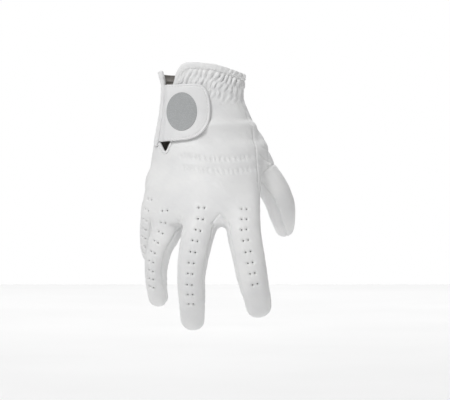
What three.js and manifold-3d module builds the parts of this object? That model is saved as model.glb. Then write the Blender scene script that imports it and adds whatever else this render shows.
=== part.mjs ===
// White leather glove for the right hand in its worn pose: fingers hang down and curl in, thumb at +X,
// back of the hand towards -Y. Millimetres, +Z up through the wrist opening.
import * as THREE from 'three';
import { mergeVertices } from 'three/addons/utils/BufferGeometryUtils.js';
import Module from 'manifold-3d';

const wasm = await Module();
wasm.setup();

// Driving dimensions
const breadth = 90;          // hand across the knuckles
const palmLength = 112;      // wrist opening to the webs between the fingers
const handDepth = 36;        // hand through the palm, back to front
const wall = 1.2;            // leather
const seamGap = 0.3;         // parting between two pieces
const hemBand = 5.2;         // bound hem at the wrist edge
const hemSwell = 0.45;       // how much thicker the hem is, outside
const slitRim = 2.0;         // binding along the slit
const rollWidth = 4.4;       // rolled edge of the slit
const rollDepth = 4.0;
const padThickness = 1.0;
const tabThickness = 1.8;
const tabWidth = 37;
const tabHeight = 44;
const patchWidth = 24;       // seen from the front, 30 round on the curved tab
const patchHeight = 30;
const patchThickness = 0.6;
const holeRadius = 0.65;
const holePitch = 7.5;
const holePairSpan = 2.8;
const holeSides = 4;
const gatherHeight = 0.9;    // wrist gathers
const gatherPitch = 6.6;
const shirrHeight = 0.55;    // knuckle shirring
const shirrPitch = 6.6;
const foldHeight = 0.7;      // soft cross fold above the wrist bend

// Sections of the hand from the wrist edge down. down and forward are shares of palmLength, across and wide
// shares of breadth, deep a share of handDepth, arch a share of breadth: how far the little-finger side
// falls back. square is the exponent of the section: 2 is an ellipse, more is squarer.
const handSections = [
  { down: -0.12, across: 0.000, wide: 0.765, forward: 0.000, deep: 1.17, arch: 0.03, square: 2.30 },
  { down: 0.000, across: 0.004, wide: 0.755, forward: 0.004, deep: 1.16, arch: 0.03, square: 2.30 },
  { down: 0.105, across: 0.013, wide: 0.722, forward: 0.009, deep: 1.14, arch: 0.03, square: 2.30 },
  { down: 0.180, across: 0.008, wide: 0.716, forward: 0.018, deep: 1.11, arch: 0.04, square: 2.30 },
  { down: 0.300, across: 0.028, wide: 0.784, forward: 0.027, deep: 1.08, arch: 0.05, square: 2.30 },
  { down: 0.384, across: 0.034, wide: 0.846, forward: 0.040, deep: 1.06, arch: 0.07, square: 2.30 },
  { down: 0.477, across: 0.040, wide: 0.905, forward: 0.071, deep: 1.03, arch: 0.10, square: 2.35 },
  { down: 0.592, across: 0.037, wide: 0.949, forward: 0.125, deep: 0.97, arch: 0.15, square: 2.45 },
  { down: 0.661, across: 0.034, wide: 0.966, forward: 0.156, deep: 0.94, arch: 0.19, square: 2.50 },
  { down: 0.766, across: 0.013, wide: 1.005, forward: 0.214, deep: 0.89, arch: 0.24, square: 2.65 },
  { down: 0.871, across: 0.001, wide: 1.005, forward: 0.280, deep: 0.83, arch: 0.28, square: 2.80 },
  { down: 0.973, across: -0.007, wide: 1.000, forward: 0.345, deep: 0.74, arch: 0.32, square: 2.90 },
  { down: 1.080, across: -0.007, wide: 0.985, forward: 0.400, deep: 0.72, arch: 0.33, square: 2.90 },
];
const webRound = 0.16;       // the hand rounds off towards the webs over this share of palmLength
const webSide = 0.45;        // and narrows less from the sides
const archPeak = 0.20;       // where the back stands highest, share of breadth towards the index finger
const archIndexShare = 0.20; // the index side falls back less
const backColumns = 32;
const palmColumns = 10;
const plainBackColumns = 12;

// Fingers. root is a share of breadth, palmLength and palmLength. Each section: side, lift (towards the
// viewer) and drop are shares of length from the root, wide and deep shares of width and depth, turn the
// roll in degrees towards the little finger.
const fingers = {
  index: {
    length: 96, width: 24.2, depth: 21.5, root: [0.358, 0.250, 0.857],
    holeRows: 8, holeStart: 22.3,
    sections: [
      { side: 0.000, lift: 0.000, drop: 0.000, wide: 0.80, deep: 0.66, turn: 0 },
      { side: 0.008, lift: 0.129, drop: 0.161, wide: 1.00, deep: 1.00, turn: 0 },
      { side: 0.018, lift: 0.203, drop: 0.308, wide: 1.01, deep: 1.00, turn: 0 },
      { side: 0.046, lift: 0.240, drop: 0.462, wide: 0.98, deep: 0.98, turn: -2 },
      { side: 0.070, lift: 0.234, drop: 0.633, wide: 0.96, deep: 0.93, turn: -4 },
      { side: 0.092, lift: 0.200, drop: 0.755, wide: 0.92, deep: 0.88, turn: -6 },
      { side: 0.119, lift: 0.141, drop: 0.868, wide: 0.85, deep: 0.82, turn: -8 },
      { side: 0.127, lift: 0.070, drop: 0.985, wide: 0.78, deep: 0.74, turn: -8 },
    ],
  },
  middle: {
    length: 104, width: 24.6, depth: 21.5, root: [0.018, 0.232, 0.857],
    holeRows: 10, holeStart: 22.5,
    sections: [
      { side: 0.000, lift: 0.000, drop: 0.000, wide: 0.80, deep: 0.66, turn: 2 },
      { side: -0.010, lift: 0.115, drop: 0.149, wide: 1.02, deep: 1.00, turn: 3 },
      { side: -0.022, lift: 0.172, drop: 0.247, wide: 1.03, deep: 1.00, turn: 4 },
      { side: -0.046, lift: 0.200, drop: 0.335, wide: 1.01, deep: 1.00, turn: 5 },
      { side: -0.066, lift: 0.214, drop: 0.443, wide: 0.96, deep: 0.98, turn: 6 },
      { side: -0.083, lift: 0.206, drop: 0.571, wide: 0.90, deep: 0.93, turn: 6 },
      { side: -0.090, lift: 0.183, drop: 0.668, wide: 0.87, deep: 0.88, turn: 6 },
      { side: -0.085, lift: 0.131, drop: 0.793, wide: 0.83, deep: 0.82, turn: 5 },
      { side: -0.082, lift: 0.069, drop: 0.886, wide: 0.79, deep: 0.77, turn: 4 },
      { side: -0.077, lift: -0.030, drop: 1.005, wide: 0.72, deep: 0.72, turn: 4 },
    ],
  },
  ring: {
    length: 90, width: 22.4, depth: 20, root: [-0.262, 0.152, 0.857],
    holeRows: 9, holeStart: 18.2,
    sections: [
      { side: 0.000, lift: 0.000, drop: 0.000, wide: 0.80, deep: 0.66, turn: 14 },
      { side: -0.022, lift: 0.078, drop: 0.170, wide: 1.02, deep: 1.00, turn: 20 },
      { side: -0.045, lift: 0.088, drop: 0.320, wide: 1.00, deep: 1.00, turn: 25 },
      { side: -0.092, lift: 0.060, drop: 0.450, wide: 0.93, deep: 0.95, turn: 27 },
      { side: -0.122, lift: 0.010, drop: 0.560, wide: 0.86, deep: 0.88, turn: 29 },
      { side: -0.134, lift: -0.055, drop: 0.672, wide: 0.80, deep: 0.82, turn: 30 },
      { side: -0.134, lift: -0.125, drop: 0.785, wide: 0.75, deep: 0.78, turn: 31 },
      { side: -0.126, lift: -0.200, drop: 0.885, wide: 0.70, deep: 0.74, turn: 32 },
      { side: -0.112, lift: -0.285, drop: 0.972, wide: 0.66, deep: 0.70, turn: 32 },
    ],
  },
  little: {
    length: 72, width: 19.5, depth: 18, root: [-0.392, 0.130, 0.848],
    holeRows: 7, holeStart: 6,
    sections: [
      { side: 0.000, lift: 0.000, drop: 0.000, wide: 0.76, deep: 0.66, turn: 30 },
      { side: -0.030, lift: -0.030, drop: 0.220, wide: 1.00, deep: 1.00, turn: 40 },
      { side: -0.058, lift: -0.150, drop: 0.455, wide: 0.98, deep: 0.98, turn: 46 },
      { side: -0.060, lift: -0.310, drop: 0.630, wide: 0.92, deep: 0.93, turn: 48 },
      { side: -0.022, lift: -0.470, drop: 0.720, wide: 0.87, deep: 0.88, turn: 48 },
      { side: 0.035, lift: -0.680, drop: 0.745, wide: 0.80, deep: 0.82, turn: 48 },
    ],
  },
};
const thumb = {
  length: 84, width: 24.5, depth: 25, root: [0.422, -0.020, 0.487],
  sections: [
    { side: -0.200, lift: 0.060, drop: -0.200, wide: 0.40, deep: 0.40, turn: 0 },
    { side: -0.105, lift: 0.030, drop: -0.060, wide: 0.86, deep: 0.86, turn: 0 },
    { side: 0.000, lift: 0.010, drop: 0.085, wide: 1.05, deep: 1.08, turn: 0 },
    { side: 0.085, lift: 0.000, drop: 0.262, wide: 1.04, deep: 1.08, turn: 0 },
    { side: 0.212, lift: -0.012, drop: 0.437, wide: 0.98, deep: 1.00, turn: 0 },
    { side: 0.286, lift: -0.070, drop: 0.586, wide: 0.95, deep: 0.94, turn: 0 },
    { side: 0.312, lift: -0.165, drop: 0.700, wide: 0.84, deep: 0.88, turn: 0 },
    { side: 0.330, lift: -0.290, drop: 0.800, wide: 0.66, deep: 0.80, turn: 0 },
    { side: 0.340, lift: -0.360, drop: 0.868, wide: 0.52, deep: 0.70, turn: 0 },
  ],
};
const thumbSeamShare = 0.46; // where the thumb pieces are set in, share of the thumb's length
const fingerRoundness = 2.2;
const fingerSides = 10;

// Closed solids from rings of points. Edges shorter than this are closed up.
const shortest = 0.03;
function solid(geometry) {
  const merged = mergeVertices(geometry, 1e-4);
  const mesh = new wasm.Mesh({
    numProp: 3,
    vertProperties: new Float32Array(merged.attributes.position.array),
    triVerts: new Uint32Array(merged.index.array),
    tolerance: shortest,
  });
  return new wasm.Manifold(mesh);
}

function loft(rings, firstPole = null, lastPole = null) {
  const count = rings[0].length;
  const points = rings.flat();
  const centre = (ring) => ring.reduce((sum, p) => sum.add(p), new THREE.Vector3()).divideScalar(count);
  points.push(firstPole ?? centre(rings[0]), lastPole ?? centre(rings.at(-1)));
  const faces = [];
  for (let j = 0; j < rings.length - 1; j++) {
    for (let i = 0; i < count; i++) {
      const a = j * count + i;
      const b = j * count + (i + 1) % count;
      faces.push(a, b, b + count, a, b + count, a + count);
    }
  }
  const top = points.length - 2;
  const last = (rings.length - 1) * count;
  for (let i = 0; i < count; i++) {
    const k = (i + 1) % count;
    faces.push(top, k, i, top + 1, last + i, last + k);
  }
  let volume = 0;
  for (let f = 0; f < faces.length; f += 3) {
    const [a, b, c] = [points[faces[f]], points[faces[f + 1]], points[faces[f + 2]]];
    volume += a.dot(new THREE.Vector3().crossVectors(b, c));
  }
  if (volume < 0) faces.reverse();
  const geometry = new THREE.BufferGeometry();
  const coordinates = points.flatMap((p) => [p.x, p.y, p.z]);
  geometry.setAttribute('position', new THREE.Float32BufferAttribute(coordinates, 3));
  geometry.setIndex(faces);
  return geometry;
}

const lerp = THREE.MathUtils.lerp;
const bump = (value, low, high) => {
  const t = (value - low) / (high - low);
  return t > 0 && t < 1 ? Math.sin(Math.PI * t) ** 2 : 0;
};
const blend = (value, low, high) => THREE.MathUtils.smoothstep(value, low, high);

// The hand: a stack of rounded sections
function handSection(z) {
  const down = -z / palmLength;
  let k = handSections.findIndex((row) => row.down >= down);
  if (k < 0) k = handSections.length - 1;
  k = Math.max(k, 1);
  const [above, below] = [handSections[k - 1], handSections[k]];
  const t = (down - above.down) / (below.down - above.down);
  const share = (name) => lerp(above[name], below[name], t);
  const into = Math.max(0, (down - handSections.at(-1).down + webRound) / webRound);
  const shrink = Math.max(1 - into ** 2.3, 0.02) ** (1 / 2.3);
  return {
    x: share('across') * breadth,
    y: -share('forward') * palmLength,
    a: share('wide') * breadth / 2 * (1 - webSide * (1 - shrink)),
    b: share('deep') * handDepth / 2 * shrink,
    arch: share('arch') * breadth,
    square: share('square'),
  };
}

function handPoint(z, angle, offset = 0) {
  const s = handSection(z);
  const round = (v) => Math.sign(v) * Math.abs(v) ** (2 / s.square);
  const x = s.x + (s.a + offset) * round(Math.cos(angle));
  return new THREE.Vector3(x, midDepth(s, x) - (s.b + offset) * round(Math.sin(angle)), z);
}

// Depth of the sheet half way between back and palm, which falls back to both sides
function midDepth(section, x) {
  const peak = archPeak * breadth;
  return section.y + (x < peak ? section.arch * ((peak - x) / (peak - section.x + section.a)) ** 2
    : section.arch * archIndexShare * ((x - peak) / (section.x + section.a - peak)) ** 2);
}

function handOut(z, angle) {
  const step = 0.02;
  const along = handPoint(z, angle + step).sub(handPoint(z, angle - step));
  const down = handPoint(z - 1, angle).sub(handPoint(z + 1, angle));
  return new THREE.Vector3().crossVectors(along, down).normalize();
}

// Folds of the back: wrist gathers, the soft cross fold and the knuckle shirring. Shares of palmLength
// down and breadth across.
const folds = {
  gathers: { top: 0.045, bottom: 0.235, from: -0.36, to: 0.42, slant: 0.55 },
  fold: { top: 0.36, middle: 0.405, bottom: 0.47, from: -0.02 },
  shirring: { top: 0.60, bottom: 0.72, from: -0.26, to: 0.44 },
};

function relief(x, z) {
  const down = -z / palmLength;
  const side = x / breadth;
  const g = folds.gathers;
  const gather = bump(down, g.top, g.bottom) * blend(side, g.from, g.from + 0.08)
    * (1 - blend(side, g.to - 0.06, g.to))
    * Math.cos(2 * Math.PI * (x - g.slant * z) / gatherPitch);
  const f = folds.fold;
  const fold = (bump(down, f.top, f.bottom - 0.03) - 0.8 * bump(down, f.middle, f.bottom + 0.03))
    * blend(side, f.from, f.from + 0.12);
  const s = folds.shirring;
  const shirr = bump(down, s.top, s.bottom) * blend(side, s.from, s.from + 0.1)
    * (1 - blend(side, s.to - 0.08, s.to)) * Math.cos(2 * Math.PI * x / shirrPitch);
  return gatherHeight * gather + foldHeight * fold + shirrHeight * shirr;
}

function handSolid({ offset = 0, columns = null, levels, folded = false, top = -0.1 }) {
  const angles = columns ?? plainColumns;
  const last = handSections.at(-1).down;
  const rings = levels.map((down) => {
    const z = -palmLength * (down < 0 ? top : Math.min(down, last));
    return angles.map((angle) => {
      const p = handPoint(z, angle, offset);
      const onBack = Math.sin(angle) > 0.15;
      return folded && onBack ? p.addScaledVector(handOut(z, angle), relief(p.x, z)) : p;
    });
  });
  const tip = rings.at(-1).reduce((sum, p) => sum.add(p), new THREE.Vector3()).divideScalar(angles.length);
  tip.z -= 0.6 + offset;
  return solid(loft(rings, null, tip));
}

const backFrom = THREE.MathUtils.degToRad(8);
const fan = (count, from, to) => Array.from({ length: count }, (_, i) => lerp(from, to, i / (count - 1)));
const palmFan = fan(palmColumns, Math.PI + backFrom, 2 * Math.PI - backFrom);
const foldedColumns = [...fan(backColumns, backFrom, Math.PI - backFrom), ...palmFan];
const plainColumns = [...fan(plainBackColumns, backFrom, Math.PI - backFrom), ...palmFan];
const foldedLevels = [-1, 0.05, 0.105, 0.145, 0.18, 0.235, 0.30, 0.384, 0.43, 0.477, 0.592, 0.661, 0.72,
  0.80, 0.90, 1.00, 1.04, 1.065];
const plainLevels = [-1, 0.105, 0.18, 0.30, 0.384, 0.477, 0.592, 0.661, 0.80, 0.90, 1.00, 1.04, 1.065];

// A finger: rings along a curved centre line with a rounded end
class Finger {
  constructor(spec) {
    this.spec = spec;
    const [across, forward, down] = spec.root;
    const root = new THREE.Vector3(across * breadth, -forward * palmLength, -down * palmLength);
    const centres = spec.sections.map((row) => new THREE.Vector3(row.side, -row.lift, -row.drop)
      .multiplyScalar(spec.length).add(root));
    this.curve = new THREE.CatmullRomCurve3(centres, false, 'catmullrom', 0.5);
    this.curve.arcLengthDivisions = 400;
    this.total = this.curve.getLength();
  }

  // Frame at a distance from the root: centre, tangent, side (to +X) and back (to -Y), half width, half depth
  frame(distance) {
    const u = THREE.MathUtils.clamp(distance / this.total, 0, 1);
    const t = this.curve.getUtoTmapping(u);
    const centre = this.curve.getPoint(t);
    const tangent = this.curve.getTangent(t);
    const place = t * (this.spec.sections.length - 1);
    const k = Math.min(Math.floor(place), this.spec.sections.length - 2);
    const [from, to] = [this.spec.sections[k], this.spec.sections[k + 1]];
    const share = (name) => lerp(from[name], to[name], place - k);
    const back = new THREE.Vector3(0, -1, 0);
    back.addScaledVector(tangent, -back.dot(tangent)).normalize();
    const side = new THREE.Vector3().crossVectors(back, tangent);
    const turn = THREE.MathUtils.degToRad(share('turn'));
    return {
      centre,
      tangent,
      back: back.clone().multiplyScalar(Math.cos(turn)).addScaledVector(side, -Math.sin(turn)),
      side: side.clone().multiplyScalar(Math.cos(turn)).addScaledVector(back, Math.sin(turn)),
      a: share('wide') * this.spec.width / 2,
      b: share('deep') * this.spec.depth / 2,
    };
  }

  endRadius() {
    return this.spec.sections.at(-1).wide * this.spec.width / 2;
  }

  // angle 0 points to the side, 90 degrees to the back
  point(distance, angle, offset = 0) {
    const f = this.frame(distance);
    const cap = this.endRadius();
    const left = Math.max(this.total - distance, 0);
    const shrink = left < cap ? (1 - (1 - left / cap) ** 2.3) ** (1 / 2.3) : 1;
    const round = (v) => Math.sign(v) * Math.abs(v) ** (2 / fingerRoundness);
    return f.centre.clone()
      .addScaledVector(f.side, Math.max((f.a + offset) * shrink, 0.01) * round(Math.cos(angle)))
      .addScaledVector(f.back, Math.max((f.b + offset) * shrink, 0.01) * round(Math.sin(angle)));
  }

  out(distance, angle) {
    const f = this.frame(distance);
    return f.side.clone().multiplyScalar(Math.cos(angle)).addScaledVector(f.back, Math.sin(angle));
  }

  tip(offset = 0) {
    const f = this.frame(this.total);
    return f.centre.clone().addScaledVector(f.tangent, offset);
  }

  solid(offset = 0, from = 0, stations = 6, sides = fingerSides) {
    const cap = this.endRadius();
    const barrel = this.total - cap - from;
    const distances = Array.from({ length: stations }, (_, i) => from + barrel * i / (stations - 1));
    for (const share of [0.40, 0.80]) distances.push(this.total - cap * (1 - share));
    const rings = distances.map((d) => Array.from({ length: sides }, (_, i) =>
      this.point(d, 2 * Math.PI * (i + 0.5) / sides, offset)));
    return solid(loft(rings, null, this.tip(offset)));
  }
}

const digits = {};
for (const [name, spec] of Object.entries(fingers)) digits[name] = new Finger(spec);
const thumbDigit = new Finger(thumb);
const fingerList = Object.values(digits);

const outerHand = handSolid({ columns: foldedColumns, levels: foldedLevels, folded: true });
const innerHand = handSolid({ offset: -wall, levels: plainLevels, top: -0.115 });
const sum = (solids) => solids.reduce((all, one) => all.add(one));
const outer = sum([outerHand, ...fingerList.map((f) => f.solid()), thumbDigit.solid()]);
const inner = sum([innerHand, ...fingerList.map((f) => f.solid(-wall)), thumbDigit.solid(-wall)]);
let shell = outer.subtract(inner);

// Wrist edge and slit, seen from the front: outlines in X and Z pushed through the back of the hand.
// Shares of breadth across and palmLength down.
const edge = { right: 0.021, rightOfSlit: -0.052, crown: -0.056, palm: 0.020 };
const slit = {
  topLeft: -0.328, topRight: -0.246, cornerRight: -0.160, cornerDown: 0.105,
  midLeft: -0.346, midRight: -0.250, midDown: 0.31,
  lowLeft: -0.376, lowRight: -0.264, lowDown: 0.49, apexSide: -0.318, apexDown: 0.565,
};

function pushedThrough(shape, front, back) {
  const options = { depth: back - front, bevelEnabled: false, curveSegments: 6 };
  const geometry = new THREE.ExtrudeGeometry(shape, options);
  geometry.rotateX(Math.PI / 2).translate(0, back, 0);
  geometry.deleteAttribute('normal');
  geometry.deleteAttribute('uv');
  return solid(geometry);
}

const midPlane = -1;
const reach = 80;
function aboveEdge(lower) {
  const x = (share) => share * breadth;
  const z = (share) => -share * palmLength - lower;
  const back = new THREE.Shape();
  back.moveTo(x(1), z(edge.right));
  back.lineTo(x(0.40), z(edge.right));
  back.quadraticCurveTo(x(0.13), z(edge.crown), x(slit.cornerRight), z(edge.rightOfSlit));
  const slitEdge = x(slit.topRight) + lower;
  back.quadraticCurveTo(slitEdge, z(edge.rightOfSlit), slitEdge, z(slit.cornerDown));
  back.lineTo(x(slit.topLeft), z(slit.cornerDown));
  back.lineTo(x(slit.topLeft), z(0.012));
  back.lineTo(x(-1), z(0.012));
  back.lineTo(x(-1), palmLength);
  back.lineTo(x(1), palmLength);
  const palm = new THREE.Shape();
  palm.moveTo(x(1), z(edge.palm));
  palm.lineTo(x(1), palmLength);
  palm.lineTo(x(-1), palmLength);
  palm.lineTo(x(-1), z(edge.palm));
  return pushedThrough(back, -reach, midPlane).add(pushedThrough(palm, midPlane - 0.01, reach));
}

function slitCut(grow) {
  const x = (share) => share * breadth;
  const z = (share) => -share * palmLength;
  const shape = new THREE.Shape();
  shape.moveTo(x(slit.topRight) + grow, z(-0.3));
  shape.lineTo(x(slit.topRight) + grow, z(slit.cornerDown));
  shape.lineTo(x(slit.midRight) + grow, z(slit.midDown));
  shape.lineTo(x(slit.lowRight) + grow, z(slit.lowDown));
  shape.lineTo(x(slit.apexSide) + grow * 0.3, z(slit.apexDown) - grow);
  shape.lineTo(x(slit.lowLeft) - grow, z(slit.lowDown));
  shape.lineTo(x(slit.midLeft) - grow, z(slit.midDown));
  shape.lineTo(x(slit.topLeft) - grow, z(slit.cornerDown));
  shape.lineTo(x(slit.topLeft) - grow, z(-0.3));
  return pushedThrough(shape, -reach, midPlane - 4);
}

const openEdge = aboveEdge(0).add(slitCut(0));
const hemEdge = aboveEdge(hemBand).add(slitCut(slitRim));
const hemEdgeClear = aboveEdge(hemBand + seamGap).add(slitCut(slitRim + seamGap));
const thickHand = handSolid({ offset: hemSwell, levels: plainLevels });
const thinHand = handSolid({ offset: -wall - 0.2, levels: plainLevels, top: -0.115 });
shell = shell.subtract(hemEdgeClear);
let binding = thickHand.subtract(thinHand).intersect(hemEdge).subtract(openEdge);

// Seam knives: thin ribbons that stand through the wall along a line on the surface
function ribbon(path, gap = seamGap) {
  const curve = new THREE.CatmullRomCurve3(path.map((p) => p.at), false, 'centripetal');
  const rings = [];
  const steps = (path.length - 1) * 2;
  for (let k = 0; k <= steps; k++) {
    const place = k / steps * (path.length - 1);
    const i = Math.min(Math.floor(place), path.length - 2);
    const normal = path[i].out.clone().lerp(path[i + 1].out, place - i).normalize();
    const above = lerp(path[i].above, path[i + 1].above, place - i);
    const below = lerp(path[i].below, path[i + 1].below, place - i);
    const at = curve.getPoint(k / steps);
    const along = curve.getTangent(k / steps);
    const cross = new THREE.Vector3().crossVectors(along, normal).normalize().multiplyScalar(gap / 2);
    const high = at.clone().addScaledVector(normal, above);
    const low = at.clone().addScaledVector(normal, -below);
    rings.push([high.clone().add(cross), high.clone().sub(cross), low.clone().sub(cross), low.clone().add(cross)]);
  }
  return solid(loft(rings));
}

const degrees = THREE.MathUtils.degToRad;
const onFinger = (finger, share, angle, above = 2.5, below = 5) => ({
  at: finger.point(share * finger.total, degrees(angle)),
  out: finger.out(share * finger.total, degrees(angle)),
  above,
  below,
});
const onHand = (down, angle, above = 2.5, below = 5) => ({
  at: handPoint(-down * palmLength, degrees(angle)),
  out: handOut(-down * palmLength, degrees(angle)),
  above,
  below,
});


const onTip = (finger) => ({
  at: finger.tip(), out: finger.frame(finger.total).tangent, above: 2.5, below: 5,
});

// Main seams between back and palm: degrees round the hand from the side, on the index side and on the
// little-finger side. Along a finger and over its tip the seam runs down the middle of its side.
const mainSeams = [
  { down: -0.12, index: 16, little: 192 },
  { down: 0.100, index: 17, little: 192 },
  { down: 0.260, index: 23, little: 192 },
  { down: 0.360, index: 26, little: 192 },
  { down: 0.477, index: 27, little: 192 },
  { down: 0.640, index: 27, little: 193 },
  { down: 0.800, index: 21, little: 194 },
  { down: 0.900, index: 13, little: 190 },
  { down: 0.970, index: 8, little: 184 },
  { down: 1.020, index: 4, little: 181 },
];
const overSide = 4;          // how far a cutting solid stands out past the leather
const overFinger = 1;        // and past the sides of a finger
const backReach = 0.8;       // and towards the back of the hand, share of handDepth
function backRegion(gap) {
  const handRings = mainSeams.map((row) => {
    const z = -row.down * palmLength;
    const s = handSection(z);
    const depthAt = (angle) => Math.sign(Math.sin(angle)) * Math.abs(Math.sin(angle)) ** (2 / s.square);
    const [index, little] = [depthAt(degrees(row.index)), depthAt(degrees(row.little))];
    const across = Array.from({ length: 11 }, (_, i) => i / 10);
    const low = across.map((t) => {
      const x = lerp(s.x - s.a, s.x + s.a, t);
      return new THREE.Vector3(x, midDepth(s, x) - s.b * lerp(little, index, t) + gap, z);
    });
    low[0].x -= overSide;
    low.at(-1).x += overSide;
    const high = low.map((p) => new THREE.Vector3(p.x, p.y - backReach * handDepth, z));
    return [...low, ...high.reverse()];
  });
  const fingerSlab = (finger) => {
    const along = Array.from({ length: 6 }, (_, i) => lerp(12, finger.total, i / 5));
    const stations = [2, ...along, finger.total + overSide];
    return solid(loft(stations.map((distance) => {
      const f = finger.frame(distance);
      const centre = f.centre.clone().addScaledVector(f.tangent, Math.max(distance - finger.total, 0));
      const half = f.a + overFinger;
      const at = (across, up) => centre.clone().addScaledVector(f.side, across).addScaledVector(f.back, up);
      return [at(-half, -gap), at(half, -gap), at(half, f.b + overSide), at(-half, f.b + overSide)];
    })));
  };
  return sum([solid(loft(handRings)), ...fingerList.map(fingerSlab)]);
}

// The strip let in between back and palm: its two long edges, degrees round the hand from the side
const stripTop = 0.26;
const stripFoot = 0.90;
const stripSections = [
  { down: stripTop, back: 23.5, palm: 22.5 },
  { down: 0.30, back: 25, palm: 16 },
  { down: 0.36, back: 26, palm: 8 },
  { down: 0.43, back: 27, palm: 3 },
  { down: 0.53, back: 27, palm: 0 },
  { down: 0.64, back: 27, palm: -1 },
  { down: 0.74, back: 24, palm: 0 },
  { down: 0.83, back: 19, palm: 4 },
  { down: stripFoot, back: 13, palm: 11.5 },
];
function stripRegion(gap) {
  const rings = stripSections.map((row, k) => {
    const grow = THREE.MathUtils.radToDeg(gap / (breadth / 2)) * 1.4;
    const end = k === 0 ? -gap : k === stripSections.length - 1 ? gap : 0;
    const z = -row.down * palmLength - end * 2;
    const corner = (angle, height) => handPoint(z, degrees(angle))
      .addScaledVector(handOut(z, degrees((row.back + row.palm) / 2)), height);
    const [backEdge, palmEdge] = [row.back + grow, row.palm - grow];
    return [corner(backEdge, 4), corner(palmEdge, 4), corner(palmEdge, -5), corner(backEdge, -5)];
  });
  return solid(loft(rings));
}

// Fourchettes: the side walls of two neighbouring fingers and the web between them. Each is what lies in two
// wedges along the fingers and in a roof-shaped block through the crotch. webDrop is the point of the roof
// as a share of palmLength, webLength how far the block goes down from there, webReach how far it goes to
// the back and to the palm.
const fourchettes = {
  index_middle: { from: digits.index, to: digits.middle, webDrop: 0.985, webReach: 26, webLength: 19 },
  middle_ring: { from: digits.middle, to: digits.ring, webDrop: 0.985, webReach: 22, webLength: 19 },
  ring_little: { from: digits.ring, to: digits.little, webDrop: 0.955, webReach: 20, webLength: 19 },
};
const sideEnd = 0.83;        // end of a fourchette, share of the finger's length
const seamAngle = 34;        // from the side of a finger to the seam on its back or front
const wedgeTaper = [         // share of the finger's length, share of seamAngle
  { share: 0, turn: 1.02 }, { share: 0.4, turn: 1 }, { share: 0.75, turn: 0.85 }, { share: 1, turn: 0.12 },
];

function stationAt(finger, z) {
  let distance = 0;
  while (distance < finger.total && finger.frame(distance).centre.z > z) distance += 0.5;
  return distance;
}

function wedge(finger, sideSign, start, gap) {
  const end = sideEnd * finger.total;
  const rings = wedgeTaper.map(({ share, turn }) => {
    const distance = lerp(start, end + gap * 2, share);
    const f = finger.frame(distance);
    const spread = degrees(seamAngle) * turn + gap / f.a;
    const at = (angle, radius) => f.centre.clone()
      .addScaledVector(f.side, sideSign * radius * Math.cos(angle))
      .addScaledVector(f.back, radius * Math.sin(angle));
    const far = Math.max(f.a, f.b) + 2.5;
    return [at(0, f.a * 0.2), at(spread, far), at(0, far), at(-spread, far)];
  });
  return solid(loft(rings));
}

function crotchBlock({ from, to, webDrop, webReach, webLength }, gap) {
  const apex = -webDrop * palmLength;
  const high = apex - 8;
  const low = apex - webLength - gap * 2;
  const a = from.frame(stationAt(from, high));
  const b = to.frame(stationAt(to, high));
  const e = b.centre.clone().sub(a.centre).setZ(0).normalize();
  const through = new THREE.Vector3().crossVectors(new THREE.Vector3(0, 0, 1), e);
  const foot = (finger, sign, z) => {
    const f = finger.frame(stationAt(finger, z));
    const flat = f.centre.clone().addScaledVector(e, sign * (f.a * Math.cos(degrees(seamAngle)) - gap));
    return flat.setZ(z);
  };
  const inner = a.centre.clone().addScaledVector(e, a.a);
  const middle = inner.lerp(b.centre.clone().addScaledVector(e, -b.a), 0.5);
  const ring = [
    middle.clone().setZ(apex + gap * 2),
    foot(from, 1, high), foot(from, 1, low), foot(to, -1, low), foot(to, -1, high),
  ];
  const reach = webReach + gap * 2;
  const slice = (distance) => ring.map((p) => p.clone().addScaledVector(through, distance));
  return solid(loft([slice(-reach), slice(reach)]));
}

function fourchetteRegion(spec, gap) {
  const start = -(spec.webDrop * palmLength) - 6 + gap * 2;
  return sum([
    wedge(spec.from, -1, stationAt(spec.from, start), gap),
    wedge(spec.to, 1, stationAt(spec.to, start), gap),
    crotchBlock(spec, gap),
  ]);
}

// The thumb is set in: beyond a plane across it, and wherever it stands clear of the hand
const setIn = thumbSeamShare * thumbDigit.total;
const thumbRegion = (gap) => thumbDigit.solid(3, setIn + gap, 7)
  .subtract(handSolid({ offset: 0.2 + gap, levels: plainLevels }));
const thumbShell = shell.intersect(thumbRegion(seamGap / 2));
const handShell = shell.subtract(thumbRegion(-seamGap / 2));
const thumbSeam = [
  ...[[0.42, 112], [0.55, 110], [0.68, 106], [0.8, 96], [0.9, 84], [0.97, 78]]
    .map(([share, angle]) => onFinger(thumbDigit, share, angle)),
  onTip(thumbDigit),
  ...[[0.97, 262], [0.88, 266], [0.75, 270], [0.58, 270], [0.42, 270]]
    .map(([share, angle]) => onFinger(thumbDigit, share, angle)),
];

// Rolled edge of the slit. Shares of breadth across and palmLength down, wide a share of rollWidth.
const rollSections = [
  { across: -0.362, down: 0.000, wide: 0.72 },
  { across: -0.345, down: 0.050, wide: 0.68 },
  { across: -0.333, down: 0.107, wide: 0.65 },
  { across: -0.337, down: 0.180, wide: 0.68 },
  { across: -0.348, down: 0.300, wide: 0.78 },
  { across: -0.367, down: 0.400, wide: 0.96 },
  { across: -0.383, down: 0.477, wide: 1.00 },
  { across: -0.396, down: 0.530, wide: 0.70 },
];

function handBack(x, z, offset = 0) {
  const s = handSection(z);
  const share = THREE.MathUtils.clamp((x - s.x) / (s.a + offset), -0.985, 0.985);
  const angle = Math.acos(Math.sign(share) * Math.abs(share) ** (s.square / 2));
  return { at: handPoint(z, angle, offset), out: handOut(z, angle) };
}

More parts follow.
